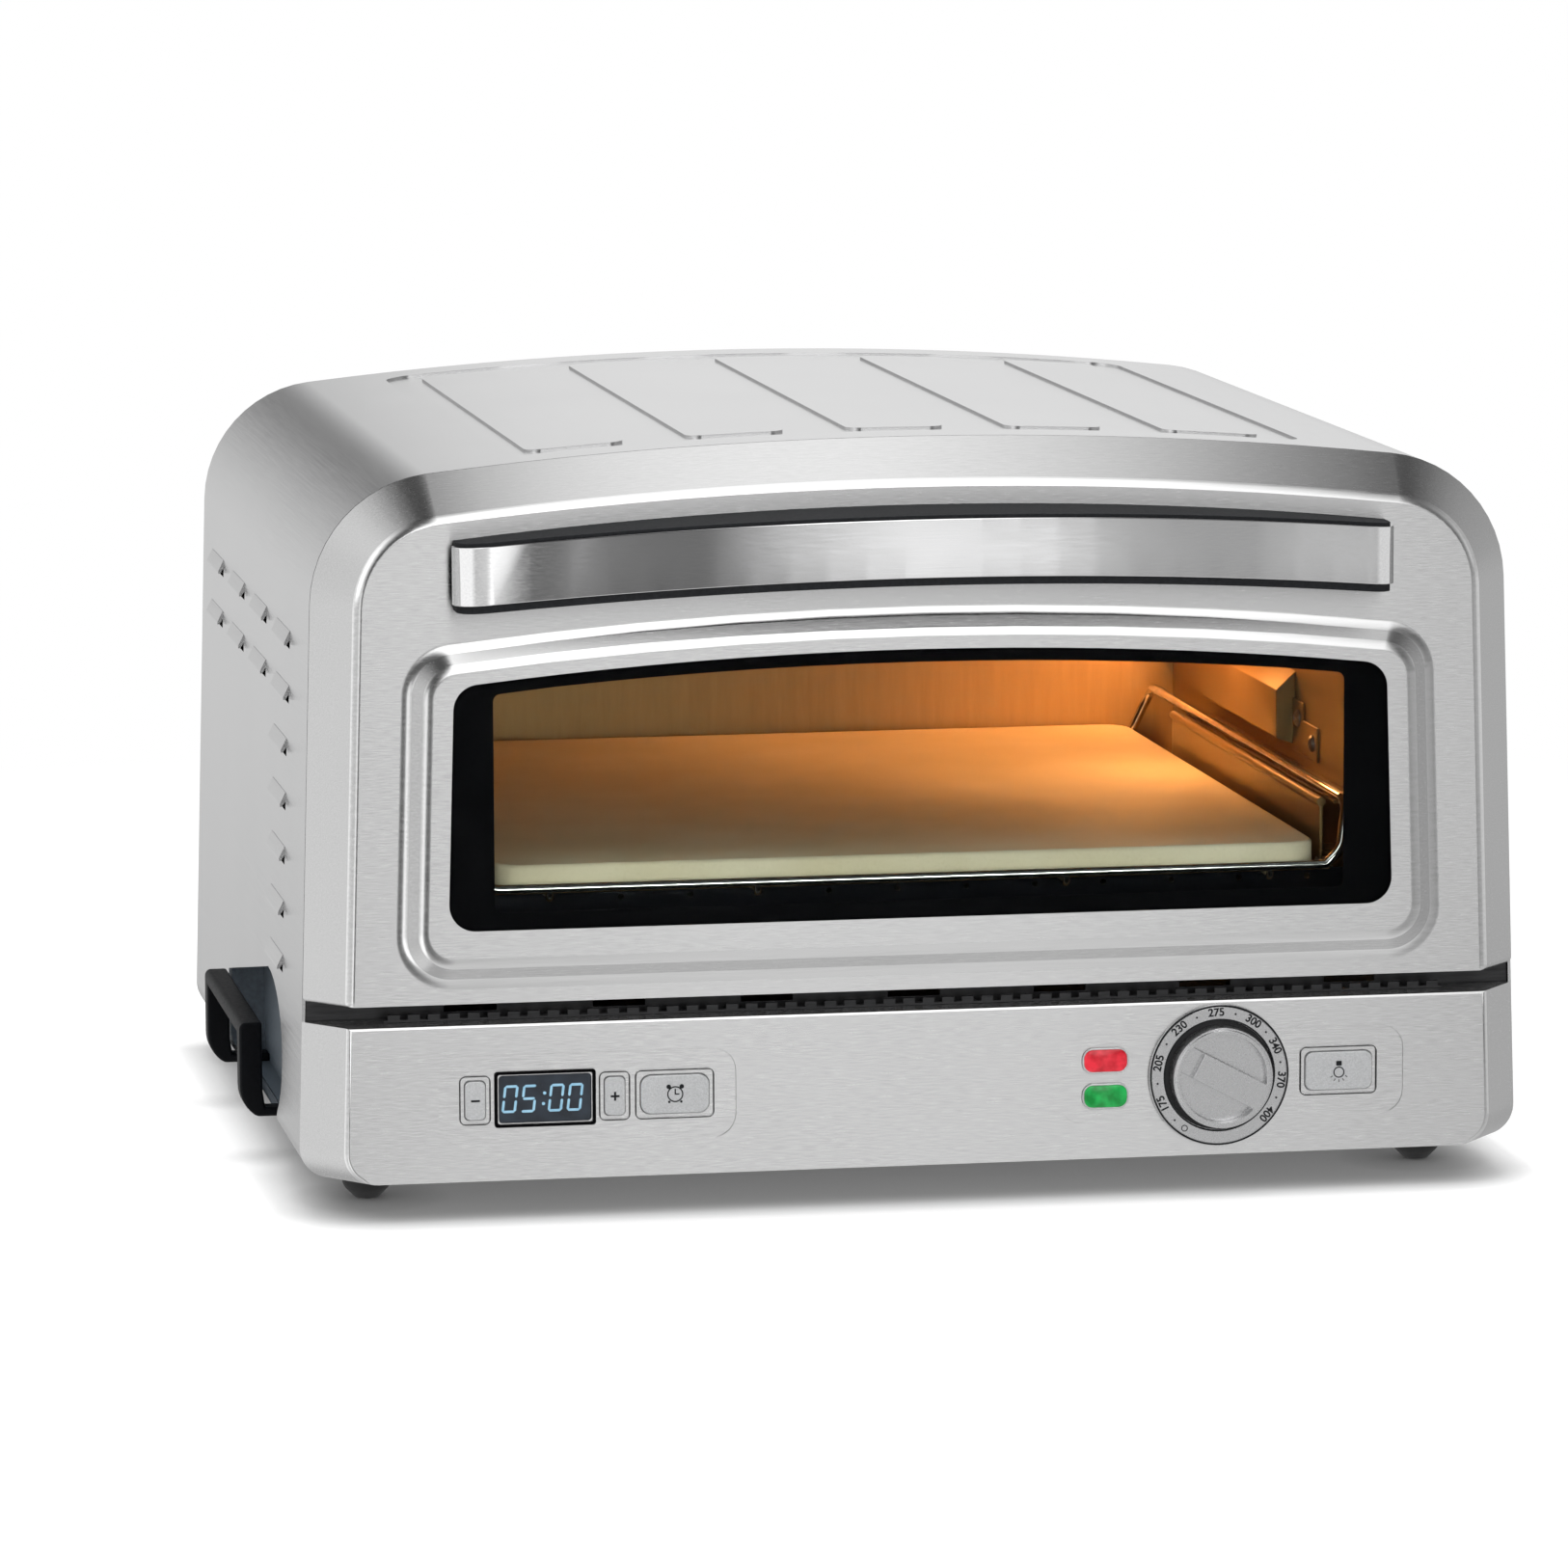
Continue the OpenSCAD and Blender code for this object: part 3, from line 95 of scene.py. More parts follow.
def add_node(tree, kind, inputs=None, **settings):
    """Adds a shader node. An input is a value, or the output of another node."""
    made = tree.nodes.new(kind)
    for name, value in settings.items():
        setattr(made, name, value)
    for key, value in (inputs or {}).items():
        if isinstance(value, bpy.types.NodeSocket):
            tree.links.new(value, made.inputs[key])
        else:
            made.inputs[key].default_value = value
    return made


def new_material(name):
    """An empty node material, and its tree with only an output."""
    material = bpy.data.materials.new(name)
    material.use_nodes = True
    tree = material.node_tree
    tree.nodes.clear()
    return material, tree


def object_noise(tree, scale, stretch=(1, 1, 1), detail=3.0, roughness=0.5):
    """Noise on the piece's own coordinates. The scale is in cells a metre, before it is stretched."""
    place = add_node(tree, "ShaderNodeTexCoord")
    mapped = add_node(
        tree, "ShaderNodeMapping", {"Vector": place.outputs["Object"], "Scale": [scale * s for s in stretch]}
    )
    return add_node(
        tree,
        "ShaderNodeTexNoise",
        {"Vector": mapped.outputs[0], "Scale": 1.0, "Detail": detail, "Roughness": roughness},
    )


def spread(tree, value, low, high, start=0.3, end=0.7):
    """Turns a noise value into one between low and high."""
    return add_node(
        tree,
        "ShaderNodeMapRange",
        {"Value": value, "From Min": start, "From Max": end, "To Min": low, "To Max": high},
    ).outputs[0]


def tinted(tree, value, dark, light, start=0.3, end=0.7):
    """A colour between two, by a noise value."""
    amount = spread(tree, value, 0, 1, start, end)
    mixed = add_node(tree, "ShaderNodeMix", {0: amount, 6: srgb(dark), 7: srgb(light)}, data_type="RGBA")
    return mixed.outputs[2]


def finish_surface(tree, colour, roughness, metallic=0.0, bump=None, bump_depth=0.0, **sockets):
    """Ends a material in one shader. Sockets are named with _ for a space."""
    inputs = {"Base Color": colour, "Roughness": roughness, "Metallic": metallic}
    inputs.update({name.replace("_", " "): value for name, value in sockets.items()})
    if bump is not None:
        relief = add_node(tree, "ShaderNodeBump", {"Height": bump, "Strength": 1.0, "Distance": bump_depth})
        inputs["Normal"] = relief.outputs[0]
    shader = add_node(tree, "ShaderNodeBsdfPrincipled", inputs)
    add_node(tree, "ShaderNodeOutputMaterial", {"Surface": shader.outputs[0]})
    return shader


def mix_shaders(tree, amount, first, second):
    """One shader where the amount is 0, and another where it is 1."""
    return add_node(tree, "ShaderNodeMixShader", {0: amount, 1: first.outputs[0], 2: second.outputs[0]})


def arithmetic(tree, operation, first, second, **settings):
    """The result of one sum on two values."""
    made = add_node(tree, "ShaderNodeMath", {0: first, 1: second}, operation=operation, **settings)
    return made.outputs[0]


def clouded(name, dark, light, rough, metal, grain, depth, detail=1.0, stretch=(1, 1, 1), **sockets):
    """A finish of one roughness, whose colour and relief follow the same noise."""
    material, tree = new_material(name)
    cloud = object_noise(tree, grain, stretch, detail).outputs[0]
    finish_surface(tree, tinted(tree, cloud, dark, light), rough, metal, cloud, depth, **sockets)
    return material


def brushed_steel(
    name, dark, light, rough_low, rough_high, grain, stretch, depth, across=None, pull=0.0, sheen=1.0
):
    """Metal rubbed with grit: fine scratches break up the reflections and draw them out across the grain."""
    material, tree = new_material(name)
    scratches = object_noise(tree, grain, stretch, 4.0, 0.65).outputs[0]
    cloud = object_noise(tree, 14, (1, 1, 1), 2.0).outputs[0]
    rough = spread(tree, scratches, rough_low, rough_high)
    tint = tinted(tree, scratches, dark, light)
    shade = add_node(
        tree,
        "ShaderNodeMix",
        {0: spread(tree, cloud, 0.0, 0.35), 6: tint, 7: srgb(light)},
        data_type="RGBA",
    )
    sockets = {}
    if across:
        sockets["Tangent"] = add_node(tree, "ShaderNodeCombineXYZ", dict(enumerate(across))).outputs[0]
        sockets["Anisotropic"] = pull
    finish_surface(tree, shade.outputs[2], rough, sheen, scratches, depth, **sockets)
    return material


def door_steel():
    """Stainless steel, grit brushed along the oven's width: short horizontal glints on a soft grey."""
    return brushed_steel(
        "stainless_brushed_across", "#c0c0c0", "#d0d0d0", 0.22, 0.28, 2400, (0.07, 1, 1), 0.000001,
        (0, 0, 1), 0.95,
    )


def bend_highlight_steel():
    """The bends and cut edges of the brushed sheet, in a lighter, glossier copy of the steel: thin white lines
    of painted highlight.
    """
    return brushed_steel("stainless_painted_bend_highlight", "#d9d9d9", "#e8e8e8", 0.14, 0.2, 900, (0.05, 1, 1), 0.000002)


def case_steel():
    """Stainless steel with a satin roll finish, brushed from front to back: nearly plain, softly bright."""
    return brushed_steel("stainless_satin", "#c9c9ca", "#d9d9d9", 0.22, 0.27, 1500, (1, 0.015, 1), 0.000001)


def edge_shade_steel():
    """Pressed edges of the case, in a darker copy of the satin steel: each step is a soft dark line of painted
    shade.
    """
    return brushed_steel("stainless_painted_edge_shade", "#7d7d7e", "#929293", 0.3, 0.4, 900, (1, 1, 1), 0.000002)


def polished_steel():
    """Buffed stainless steel: mirror-like, with a trace of the buffing lines along the strap."""
    return brushed_steel(
        "stainless_buffed", "#e2e2e3", "#f4f4f4", 0.06, 0.1, 1400, (0.02, 1, 1), 0.0000015, (0, 0, 1), 0.6
    )


def turned_aluminium():
    """Turned and blasted aluminium: light grey, fine grain, soft sheen."""
    return brushed_steel("aluminium_blasted", "#cacacb", "#dcdcdd", 0.24, 0.34, 1800, (1, 1, 1), 0.00001)


def plain_steel():
    """Mill-finish sheet steel inside the oven: dull grey with faint clouds."""
    return brushed_steel("steel_mill_finish", "#7c7c7d", "#a3a3a4", 0.35, 0.55, 500, (1, 0.1, 1), 0.00001)


def chamber_steel():
    """Aluminised steel: satin, with faint vertical streaks. Its straw colour is partly heat tint and partly
    the lamp's warm light, painted in.
    """
    return brushed_steel(
        "steel_heat_tint_and_painted_lamp_light", "#785f3c", "#836945", 0.36, 0.42, 300, (1, 1, 0.1), 0.000002, sheen=0.55
    )


def shaded_steel():
    """Mill-finish steel in the gap over the panel, darkened as painted shade in the gap."""
    return brushed_steel("steel_painted_gap_shade", "#3a3a3b", "#5a5a5b", 0.4, 0.55, 500, (0.1, 1, 1), 0.00001)


def enamelled_steel():
    """Black vitreous enamel: deep, slightly blue, with a clean gloss."""
    return clouded("enamel_black", "#0a0b10", "#151720", 0.22, 0.0, 260, 0.00002, 2.0, Coat_Weight=0.3)


def chrome_plate():
    """Bright chrome on bent wire: hard reflections with a slight ripple from the plating."""
    return clouded("chrome_plate", "#cfcfd0", "#ededee", 0.09, 1.0, 160, 0.00001)


def moulded(name, dark, light, rough, grain, depth, gloss=0.5):
    """Injection-moulded plastic with a spark-eroded grain that dulls its highlights."""
    material, tree = new_material(name)
    eroded = object_noise(tree, grain, detail=4.0, roughness=0.6).outputs[0]
    colour = tinted(tree, eroded, dark, light)
    rough = spread(tree, eroded, rough - 0.06, rough + 0.06)
    finish_surface(tree, colour, rough, 0.0, eroded, depth, Specular_IOR_Level=gloss)
    return material


def handle_plastic():
    """Glass-filled nylon, charcoal, with a fine grain."""
    return moulded("nylon_charcoal", "#131416", "#1f2022", 0.66, 900, 0.00002, 0.12)


def grip_plastic():
    """Phenolic resin, near black and slightly blue, with a soft sheen."""
    return moulded("phenolic_black", "#040507", "#0b0c10", 0.5, 800, 0.00002, 0.12)


def pocket_reflection_grey():
    """Blue-grey on the metal pocket, a painted reflection of the surroundings in its shaded recess: even, with
    a faint pebble.
    """
    return moulded("blue_grey_painted_reflection", "#4d565f", "#606a73", 0.4, 500, 0.00003)


def foot_rubber():
    """Moulded rubber, matt black."""
    return moulded("rubber_black", "#0b0b0c", "#191919", 0.7, 700, 0.00004)


def key_lacquer():
    """Silver lacquer on plastic keys: pale, even, with a pearl of fine flake."""
    return clouded("lacquer_silver", "#aeafb0", "#c3c4c5", 0.34, 0.55, 2500, 0.000005)


def fired_stone():
    """Cordierite stone: cream, fine pores, faint clouds from the firing."""
    material, tree = new_material("cordierite_cream")
    cloud = object_noise(tree, 18, detail=3.0).outputs[0]
    pores = object_noise(tree, 900, detail=3.0, roughness=0.7).outputs[0]
    base = tinted(tree, cloud, "#d9cdb0", "#e6dcc4")
    depths = spread(tree, pores, 0.25, 0.0, 0.3, 0.5)
    speck = add_node(tree, "ShaderNodeMix", {0: depths, 6: base, 7: srgb("#b8a988")}, data_type="RGBA")
    finish_surface(tree, speck.outputs[2], 0.7, 0.0, pores, 0.00008)
    return material


def heater_sheath():
    """Oxidised heater tube: brown-grey steel, patchy from the heat."""
    return clouded("sheath_oxidised", "#4a4038", "#73675a", 0.5, 0.7, 90, 0.00003, 3.0, (0.3, 1, 1))


def fired_ceramic():
    """Unglazed steatite: off-white and matt."""
    return moulded("steatite_white", "#d6d3c9", "#e8e6de", 0.6, 600, 0.00003)


def glass_sheet(name, tint):
    """Float glass with low-reflection faces, which also lets the lamps' light through."""
    material, tree = new_material(name)
    see_through = {"Base Color": srgb(tint), "Roughness": 0.0, "Transmission Weight": 1.0, "IOR": 1.07}
    shader = add_node(tree, "ShaderNodeBsdfPrincipled", see_through)
    clear = add_node(tree, "ShaderNodeBsdfTransparent", {"Color": srgb(tint)})
    path = add_node(tree, "ShaderNodeLightPath")
    mixed = mix_shaders(tree, path.outputs["Is Shadow Ray"], shader, clear)
    add_node(tree, "ShaderNodeOutputMaterial", {"Surface": mixed.outputs[0]})
    return material


def window_glass():
    """Clear heat-resisting glass of the door's outer pane."""
    return glass_sheet("glass_outer", "#f4f6f5")


def inner_glass():
    """Clear heat-resisting glass of the door's inner pane."""
    return glass_sheet("glass_inner", "#f2f4f0")


def fired_border():
    """Black ceramic ink, fired on the back of the glass: flat and deep."""
    return moulded("ceramic_ink_black", "#010102", "#030304", 0.6, 300, 0.000005, 0.05)


def smoked_window():
    """Smoked acrylic over the timer: nearly black, blue-grey, glossy."""
    return clouded("acrylic_smoked", "#161c24", "#222a34", 0.12, 0.0, 120, 0.000003)


def glowing(name, colour, glow, strength, rough=0.2):
    """Clear coloured plastic or ink that is lit from behind, with a brighter and a dimmer side."""
    material, tree = new_material(name)
    patches = object_noise(tree, 220, detail=2.0).outputs[0]
    light = tinted(tree, patches, colour, glow, 0.35, 0.65)
    finish_surface(tree, srgb(colour), rough, 0.0, Emission_Color=light, Emission_Strength=strength)
    return material


def red_lens():
    """Clear red acrylic over a lamp: crimson with paler spots."""
    return glowing("acrylic_red", "#8f0a18", "#f03c4c", 0.55)


def green_lens():
    """Clear green acrylic over a lamp: green with paler spots."""
    return glowing("acrylic_green", "#066628", "#28c060", 0.5)


def lit_segment():
    """Light-blue display segments that glow evenly."""
    return glowing("display_segment", "#6f95ab", "#9dbfce", 0.42)


def printed_ink():
    """Dark grey screen-printed ink, thin and matt."""
    return moulded("ink_dark_grey", "#111214", "#1b1c1e", 0.6, 900, 0.000003, 0.2)


def gap_shade_black():
    """Black sheet behind the knob and round the keys: painted shade in the gaps."""
    return moulded("black_painted_gap_shade", "#08080a", "#131315", 0.5, 900, 0.00001)


def circuit_board():
    """Green solder mask on a glass-fibre board."""
    return moulded("solder_mask_green", "#0d3a1e", "#15512b", 0.35, 700, 0.00001)


def lamp_bulb_glass():
    """Frosted bulb, glowing warm."""
    return glowing("glass_frosted_warm", "#ffb45e", "#ffd79a", 2.5)


def activate(*pieces):
    """Selects these pieces alone, the last one active."""
    for other in list(bpy.context.selected_objects):
        other.select_set(False)
    for piece in pieces:
        piece.select_set(True)
        bpy.context.view_layer.objects.active = piece


def edit(piece, *steps):
    """Runs each step in edit mode, with all of the piece selected at the start."""
    activate(piece)
    bpy.ops.object.mode_set(mode="EDIT")
    bpy.ops.mesh.select_all(action="SELECT")
    for step in steps:
        step()
    bpy.ops.object.mode_set(mode="OBJECT")


def settle(piece):
    """Puts a piece's place into its mesh."""
    activate(piece)
    bpy.ops.object.transform_apply(location=True, rotation=True, scale=True)


def modify(piece, kind, **settings):
    """Adds a modifier and applies it."""
    activate(piece)
    made = piece.modifiers.new(kind.lower(), kind)
    for name, value in settings.items():
        setattr(made, name, value)
    bpy.ops.object.modifier_apply(modifier=made.name)


def round_edges(piece, width, segments=2, angle=30, finish=-1):
    """Bevels the sharp edges, and evens the shading so that flat faces stay flat. The rounded faces may be
    given a finish of their own, by its place in the piece's list."""
    if width > 0:
        modify(
            piece, "BEVEL", width=width, segments=segments, limit_method="ANGLE",
            angle_limit=math.radians(angle), material=finish,
        )
    activate(piece)
    bpy.ops.object.shade_smooth_by_angle(angle=math.radians(angle + 10))
    modify(piece, "WEIGHTED_NORMAL", keep_sharp=True, weight=60)


def bend_front(piece, width, segments, finish, brim=math.inf):
    """Rounds the folds between the flat front of a skin and its slopes, and the fold at a brim's height,
    and gives them a finish by its place."""
    beside = {}
    for face in piece.data.polygons:
        for key in face.edge_keys:
            beside.setdefault(key, []).append(face.normal.copy())
    activate(piece)
    bpy.ops.object.mode_set(mode="EDIT")
    bpy.ops.mesh.select_mode(type="EDGE")
    bpy.ops.mesh.select_all(action="DESELECT")
    bpy.ops.object.mode_set(mode="OBJECT")
    for edge in piece.data.edges:
        fronts = sorted(-normal.y for normal in beside.get(edge.key, ()))
        if len(fronts) == 2:
            heights = [piece.data.vertices[corner].co.z for corner in edge.vertices]
            folded = SLOPE[0] < fronts[0] < SLOPE[1] or min(heights) > brim - 0.1 * MM
            edge.select = folded and fronts[1] > FLAT
    bpy.ops.object.mode_set(mode="EDIT")
    bpy.ops.mesh.bevel(offset=width, segments=segments, affect="EDGES", clamp_overlap=False, material=finish)
    bpy.ops.mesh.select_mode(type="VERT")
    bpy.ops.object.mode_set(mode="OBJECT")


def put_on(piece, finish, body, slot, *nodes):
    """Gives a piece its finish or finishes, its body, and the nodes that it stands for."""
    piece.data.materials.clear()
    for material in finish if isinstance(finish, list) else [finish]:
        piece.data.materials.append(material)
    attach(piece, body)
    if nodes:
        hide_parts(*nodes)
    return piece


def skin_of(node, name):
    """A merged copy of a node's solid, with its flat faces joined."""
    piece = bpy.data.objects.new(name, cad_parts[node].data.copy())
    bpy.context.scene.collection.objects.link(piece)
    edit(
        piece,
        lambda: bpy.ops.mesh.remove_doubles(threshold=0.000005),
        lambda: bpy.ops.mesh.dissolve_limited(angle_limit=math.radians(0.3)),
        lambda: bpy.ops.mesh.normals_make_consistent(inside=False),
    )
    return piece


def dress(node, name, finish, body, slot, width, segments=2, angle=30, rounded=-1):
    """Puts a skin with rounded edges in a node's place."""
    piece = put_on(skin_of(node, name), finish, body, slot, node)
    round_edges(piece, width, segments, angle, rounded)


def dress_sheet(node, name, body, slot, edge, bend, segments, brim=math.inf):
    """Puts a skin of brushed sheet in a node's place, its folds and its softened cut edges in a lighter copy
    of the steel as painted highlight.
    """
    piece = put_on(skin_of(node, name), [door_steel(), bend_highlight_steel()], body, slot, node)
    bend_front(piece, bend, segments, 1, brim)
    round_edges(piece, edge, 3, 35, 1)


def tube(name, points, radius, closed=False, sides=4):
    """A round wire along a line of points."""
    activate()
    bpy.ops.curve.primitive_nurbs_path_add(location=(0, 0, 0))
    line = bpy.context.active_object
    line.name = name
    line.data.splines.clear()
    spline = line.data.splines.new("POLY")
    spline.points.add(len(points) - 1)
    for point, place in zip(spline.points, points):
        point.co = (*place, 1)
    spline.use_cyclic_u = closed
    line.data.bevel_depth = radius
    line.data.bevel_resolution = sides
    line.data.use_fill_caps = True
    activate(line)
    bpy.ops.object.convert(target="MESH")
    piece = bpy.context.active_object
    edit(
        piece,
        lambda: bpy.ops.mesh.remove_doubles(threshold=0.00001),
        lambda: bpy.ops.mesh.normals_make_consistent(inside=False),
    )
    activate(piece)
    bpy.ops.object.shade_smooth_by_angle(angle=math.radians(50))
    return piece


def rounded_path(points, radius, steps=8):
    """The points of a bent line, with each corner rounded to a radius."""
    places = [Vector(p) for p in points]
    path = [places[0]]
    for before, corner, after in zip(places, places[1:], places[2:]):
        a = (before - corner).normalized()
        b = (after - corner).normalized()
        half = a.angle(b) / 2
        reach = min(radius / math.tan(half), (before - corner).length * 0.49, (after - corner).length * 0.49)
        for i in range(steps + 1):
            t = i / steps
            path.append(corner + a * reach * (1 - t) ** 2 + b * reach * t**2)
    return path + [places[-1]]


def plate(name, outlines, front, thickness, edge=0.0):
    """A flat piece that faces forward: the first outline is its edge, and the others are holes."""
    activate()
    bpy.ops.curve.primitive_bezier_circle_add(location=(0, 0, 0))
    shape = bpy.context.active_object
    shape.name = name
    shape.data.splines.clear()
    shape.data.dimensions = "2D"
    shape.data.fill_mode = "BOTH"
    for outline in outlines:
        spline = shape.data.splines.new("POLY")
        spline.points.add(len(outline) - 1)
        for point, (x, z) in zip(spline.points, outline):
            point.co = (x, z, 0, 1)
        spline.use_cyclic_u = True
    shape.data.extrude = thickness / 2 - edge
    shape.data.bevel_depth = edge
    shape.data.bevel_resolution = 1
    shape.data.offset = -edge
    activate(shape)
    bpy.ops.object.convert(target="MESH")
    piece = bpy.context.active_object
    piece.rotation_euler = (math.pi / 2, 0, 0)
    piece.location = (0, front + thickness / 2, 0)
    settle(piece)
    edit(
        piece,
        lambda: bpy.ops.mesh.remove_doubles(threshold=0.000005),
        lambda: bpy.ops.mesh.normals_make_consistent(inside=False),
    )
    activate(piece)
    bpy.ops.object.shade_smooth_by_angle(angle=math.radians(40))
    return piece


def joined(name, pieces):
    """One object from several."""
    activate(*pieces)
    bpy.ops.object.join()
    piece = bpy.context.active_object
    piece.name = name
    return piece


def arc(cx, cz, radius, start, end, steps=8):
    """Points on an arc, in degrees."""
    angles = [math.radians(start + (end - start) * i / steps) for i in range(steps + 1)]
    return [(cx + radius * math.cos(a), cz + radius * math.sin(a)) for a in angles]


def circle(cx, cz, radius, points=24):
    """Points round a circle."""
    return arc(cx, cz, radius, 0, 360 - 360 / points, points - 1)


def rounded_box(x0, x1, z0, z1, r):
    """A rectangle with round corners."""
    return (
        arc(x1 - r, z0 + r, r, -90, 0)
        + arc(x1 - r, z1 - r, r, 0, 90)
        + arc(x0 + r, z1 - r, r, 90, 180)
        + arc(x0 + r, z0 + r, r, 180, 270)
    )


def outline_of(low, high, by, r):
    """The front outline of a box, grown by a length, with round corners."""
    return rounded_box(low.x - by, high.x + by, low.z - by, high.z + by, r)


def roof_drop(x):
    """Height that the roof's arch has lost at a distance from the middle."""
    return ROOF_RADIUS - math.sqrt(ROOF_RADIUS**2 - x * x)


def arched_box(half, low, top, r, steps=16):
    """A window outline: straight sides, round corners, and a top that follows the roof."""
    side_top = top - roof_drop(half) - r
    arch = [half - r - 2 * (half - r) * i / steps for i in range(1, steps)]
    return (
        arc(half - r, low + r, r, -90, 0)
        + arc(half - r, side_top, r, 0, 86)
        + [(x, top - roof_drop(x)) for x in arch]
        + arc(r - half, side_top, r, 94, 180)
        + arc(r - half, low + r, r, 180, 270)
    )


class OvenSizes(bpy.types.PropertyGroup):
    """Sizes that a user would change."""

    edge: FloatProperty(
        name="Cut edge", description="Width of the softened sheet edges", default=0.45 * MM, unit="LENGTH"
    )
    bend: FloatProperty(
        name="Bend", description="Half width of the door's rolled bends", default=2.1 * MM, unit="LENGTH"
    )
    fold: FloatProperty(
        name="Fold", description="Half width of the panel's folds", default=1.2 * MM, unit="LENGTH"
    )
    soft_edge: FloatProperty(
        name="Moulded edge", description="Radius of the moulded edges", default=1.2 * MM, unit="LENGTH"
    )
    border_side: FloatProperty(
        name="Side border", description="Black border beside the window's view", default=21 * MM,
        unit="LENGTH",
    )
    border_top: FloatProperty(
        name="Top border", description="Black border over the window's view", default=9 * MM, unit="LENGTH"
    )
    border_low: FloatProperty(
        name="Low border", description="Black border under the window's view", default=9 * MM, unit="LENGTH"
    )
    digit_height: FloatProperty(
        name="Digit height", description="Height of the timer's digits", default=10.6 * MM, unit="LENGTH"
    )
    wire: FloatProperty(name="Wire", description="Diameter of the rack's wire", default=4 * MM, unit="LENGTH")
    time: StringProperty(name="Timer", description="Digits that the timer shows", default="0500")
    dial_low: IntProperty(name="First mark", description="Lowest number on the dial", default=175)


class OvenLight(bpy.types.PropertyGroup):
    """Light and colour of the chamber and the studio."""

    lamp: FloatVectorProperty(
        name="Lamp colour", description="Colour of the chamber's lamp", subtype="COLOR",
        default=(1.0, 0.41, 0.12),
    )
    lamp_power: FloatProperty(
        name="Lamp power", description="Power of the chamber's lamp", default=0.75, unit="POWER"
    )
    key_power: FloatProperty(
        name="Key light", description="Power of the large soft light", default=26.0, unit="POWER"
    )
    fill_power: FloatProperty(
        name="Fill light", description="Power of the light on the right", default=7.0, unit="POWER"
    )


class OvenOperator(bpy.types.Operator):
    """Builds one group of pieces."""

    bl_options = {"REGISTER", "UNDO"}

    def execute(self, context):
        self.build(context.scene.oven_sizes, context.scene.oven_light)
        return {"FINISHED"}


class OVEN_OT_case(OvenOperator):
    """Builds the outer case, the pockets, the carry handles and the feet"""

    bl_idname = "oven.case"
    bl_label = "Case"

    def build(self, sizes, light):
        # The case's rounded edges take the darker copy of the steel: painted shade lines at each step.
        case_finish = [case_steel(), edge_shade_steel()]
        dress("outer_case", "case_skin", case_finish, "oven", "case_steel", 0.3 * MM, 2, 35, 1)
        grip = grip_plastic()
        reflection_grey = pocket_reflection_grey()
        for side in ("left", "right"):
            handle, pan = "carry_handle_" + side, "pocket_" + side
            dress(handle, "carry_grip_" + side, grip, "oven", "handle_black", sizes.soft_edge, 3)
            # The pocket's blue-grey is a painted reflection in the shaded recess.
            dress(pan, "pocket_pan_" + side, reflection_grey, "oven", "pocket_grey", 0.4 * MM)
        dress("rubber_feet", "feet_rubber", foot_rubber(), "oven", "rubber_black", 0.8 * MM, 3)


class OVEN_OT_panel(OvenOperator):
    """Builds the control panel's skin, the vent teeth and the frame round the chamber"""

    bl_idname = "oven.panel"
    bl_label = "Control panel"

    def build(self, sizes, light):
        dress_sheet(
            "control_panel", "panel_skin", "oven", "panel_steel", sizes.edge, sizes.fold, 4, PANEL_TOP
        )
        # The vent teeth and the frame round the chamber take this dark steel: painted shade in the gap over
        # the panel.
        dull = shaded_steel()
        dress("vent_strip", "vent_teeth", dull, "oven", "dark_steel", 0.2 * MM)
        dress("face_frame", "chamber_frame", dull, "oven", "chamber_steel", 0.3 * MM)


def seven_segments(mark, size, x, z, lean):
    """The lit bars of one digit, as outlines. All its measures are shares of its height."""
    width = size * 0.52
    bar = size * 0.09
    gap = size * 0.04
    half = size / 2
    across = [
        ("a", size - bar, 0, width),
        ("g", half - bar / 2, 0, width),
        ("d", 0, 0, width),
    ]
    upright = [("f", 0, half), ("b", width - bar, half), ("e", 0, 0), ("c", width - bar, 0)]
    lit = {
        "0": "abcdef", "1": "bc", "2": "abged", "3": "abgcd", "4": "fgbc",
        "5": "afgcd", "6": "afgedc", "7": "abc", "8": "abcdefg", "9": "abcdfg",
    }[mark]
    shapes = []
    for name, low, start, end in across:
        if name in lit:
            left, right = start + gap, end - gap
            shapes.append([
                (left + bar / 2, low), (right - bar / 2, low), (right, low + bar / 2),
                (right - bar / 2, low + bar), (left + bar / 2, low + bar), (left, low + bar / 2),
            ])
    for name, left, low in upright:
        if name in lit:
            top = low + half
            shapes.append([
                (left, low + gap + bar / 2), (left + bar / 2, low + gap), (left + bar, low + gap + bar / 2),
                (left + bar, top - gap - bar / 2), (left + bar / 2, top - gap), (left, top - gap - bar / 2),
            ])
    return [[(x + px + lean * pz, z + pz) for px, pz in shape] for shape in shapes]


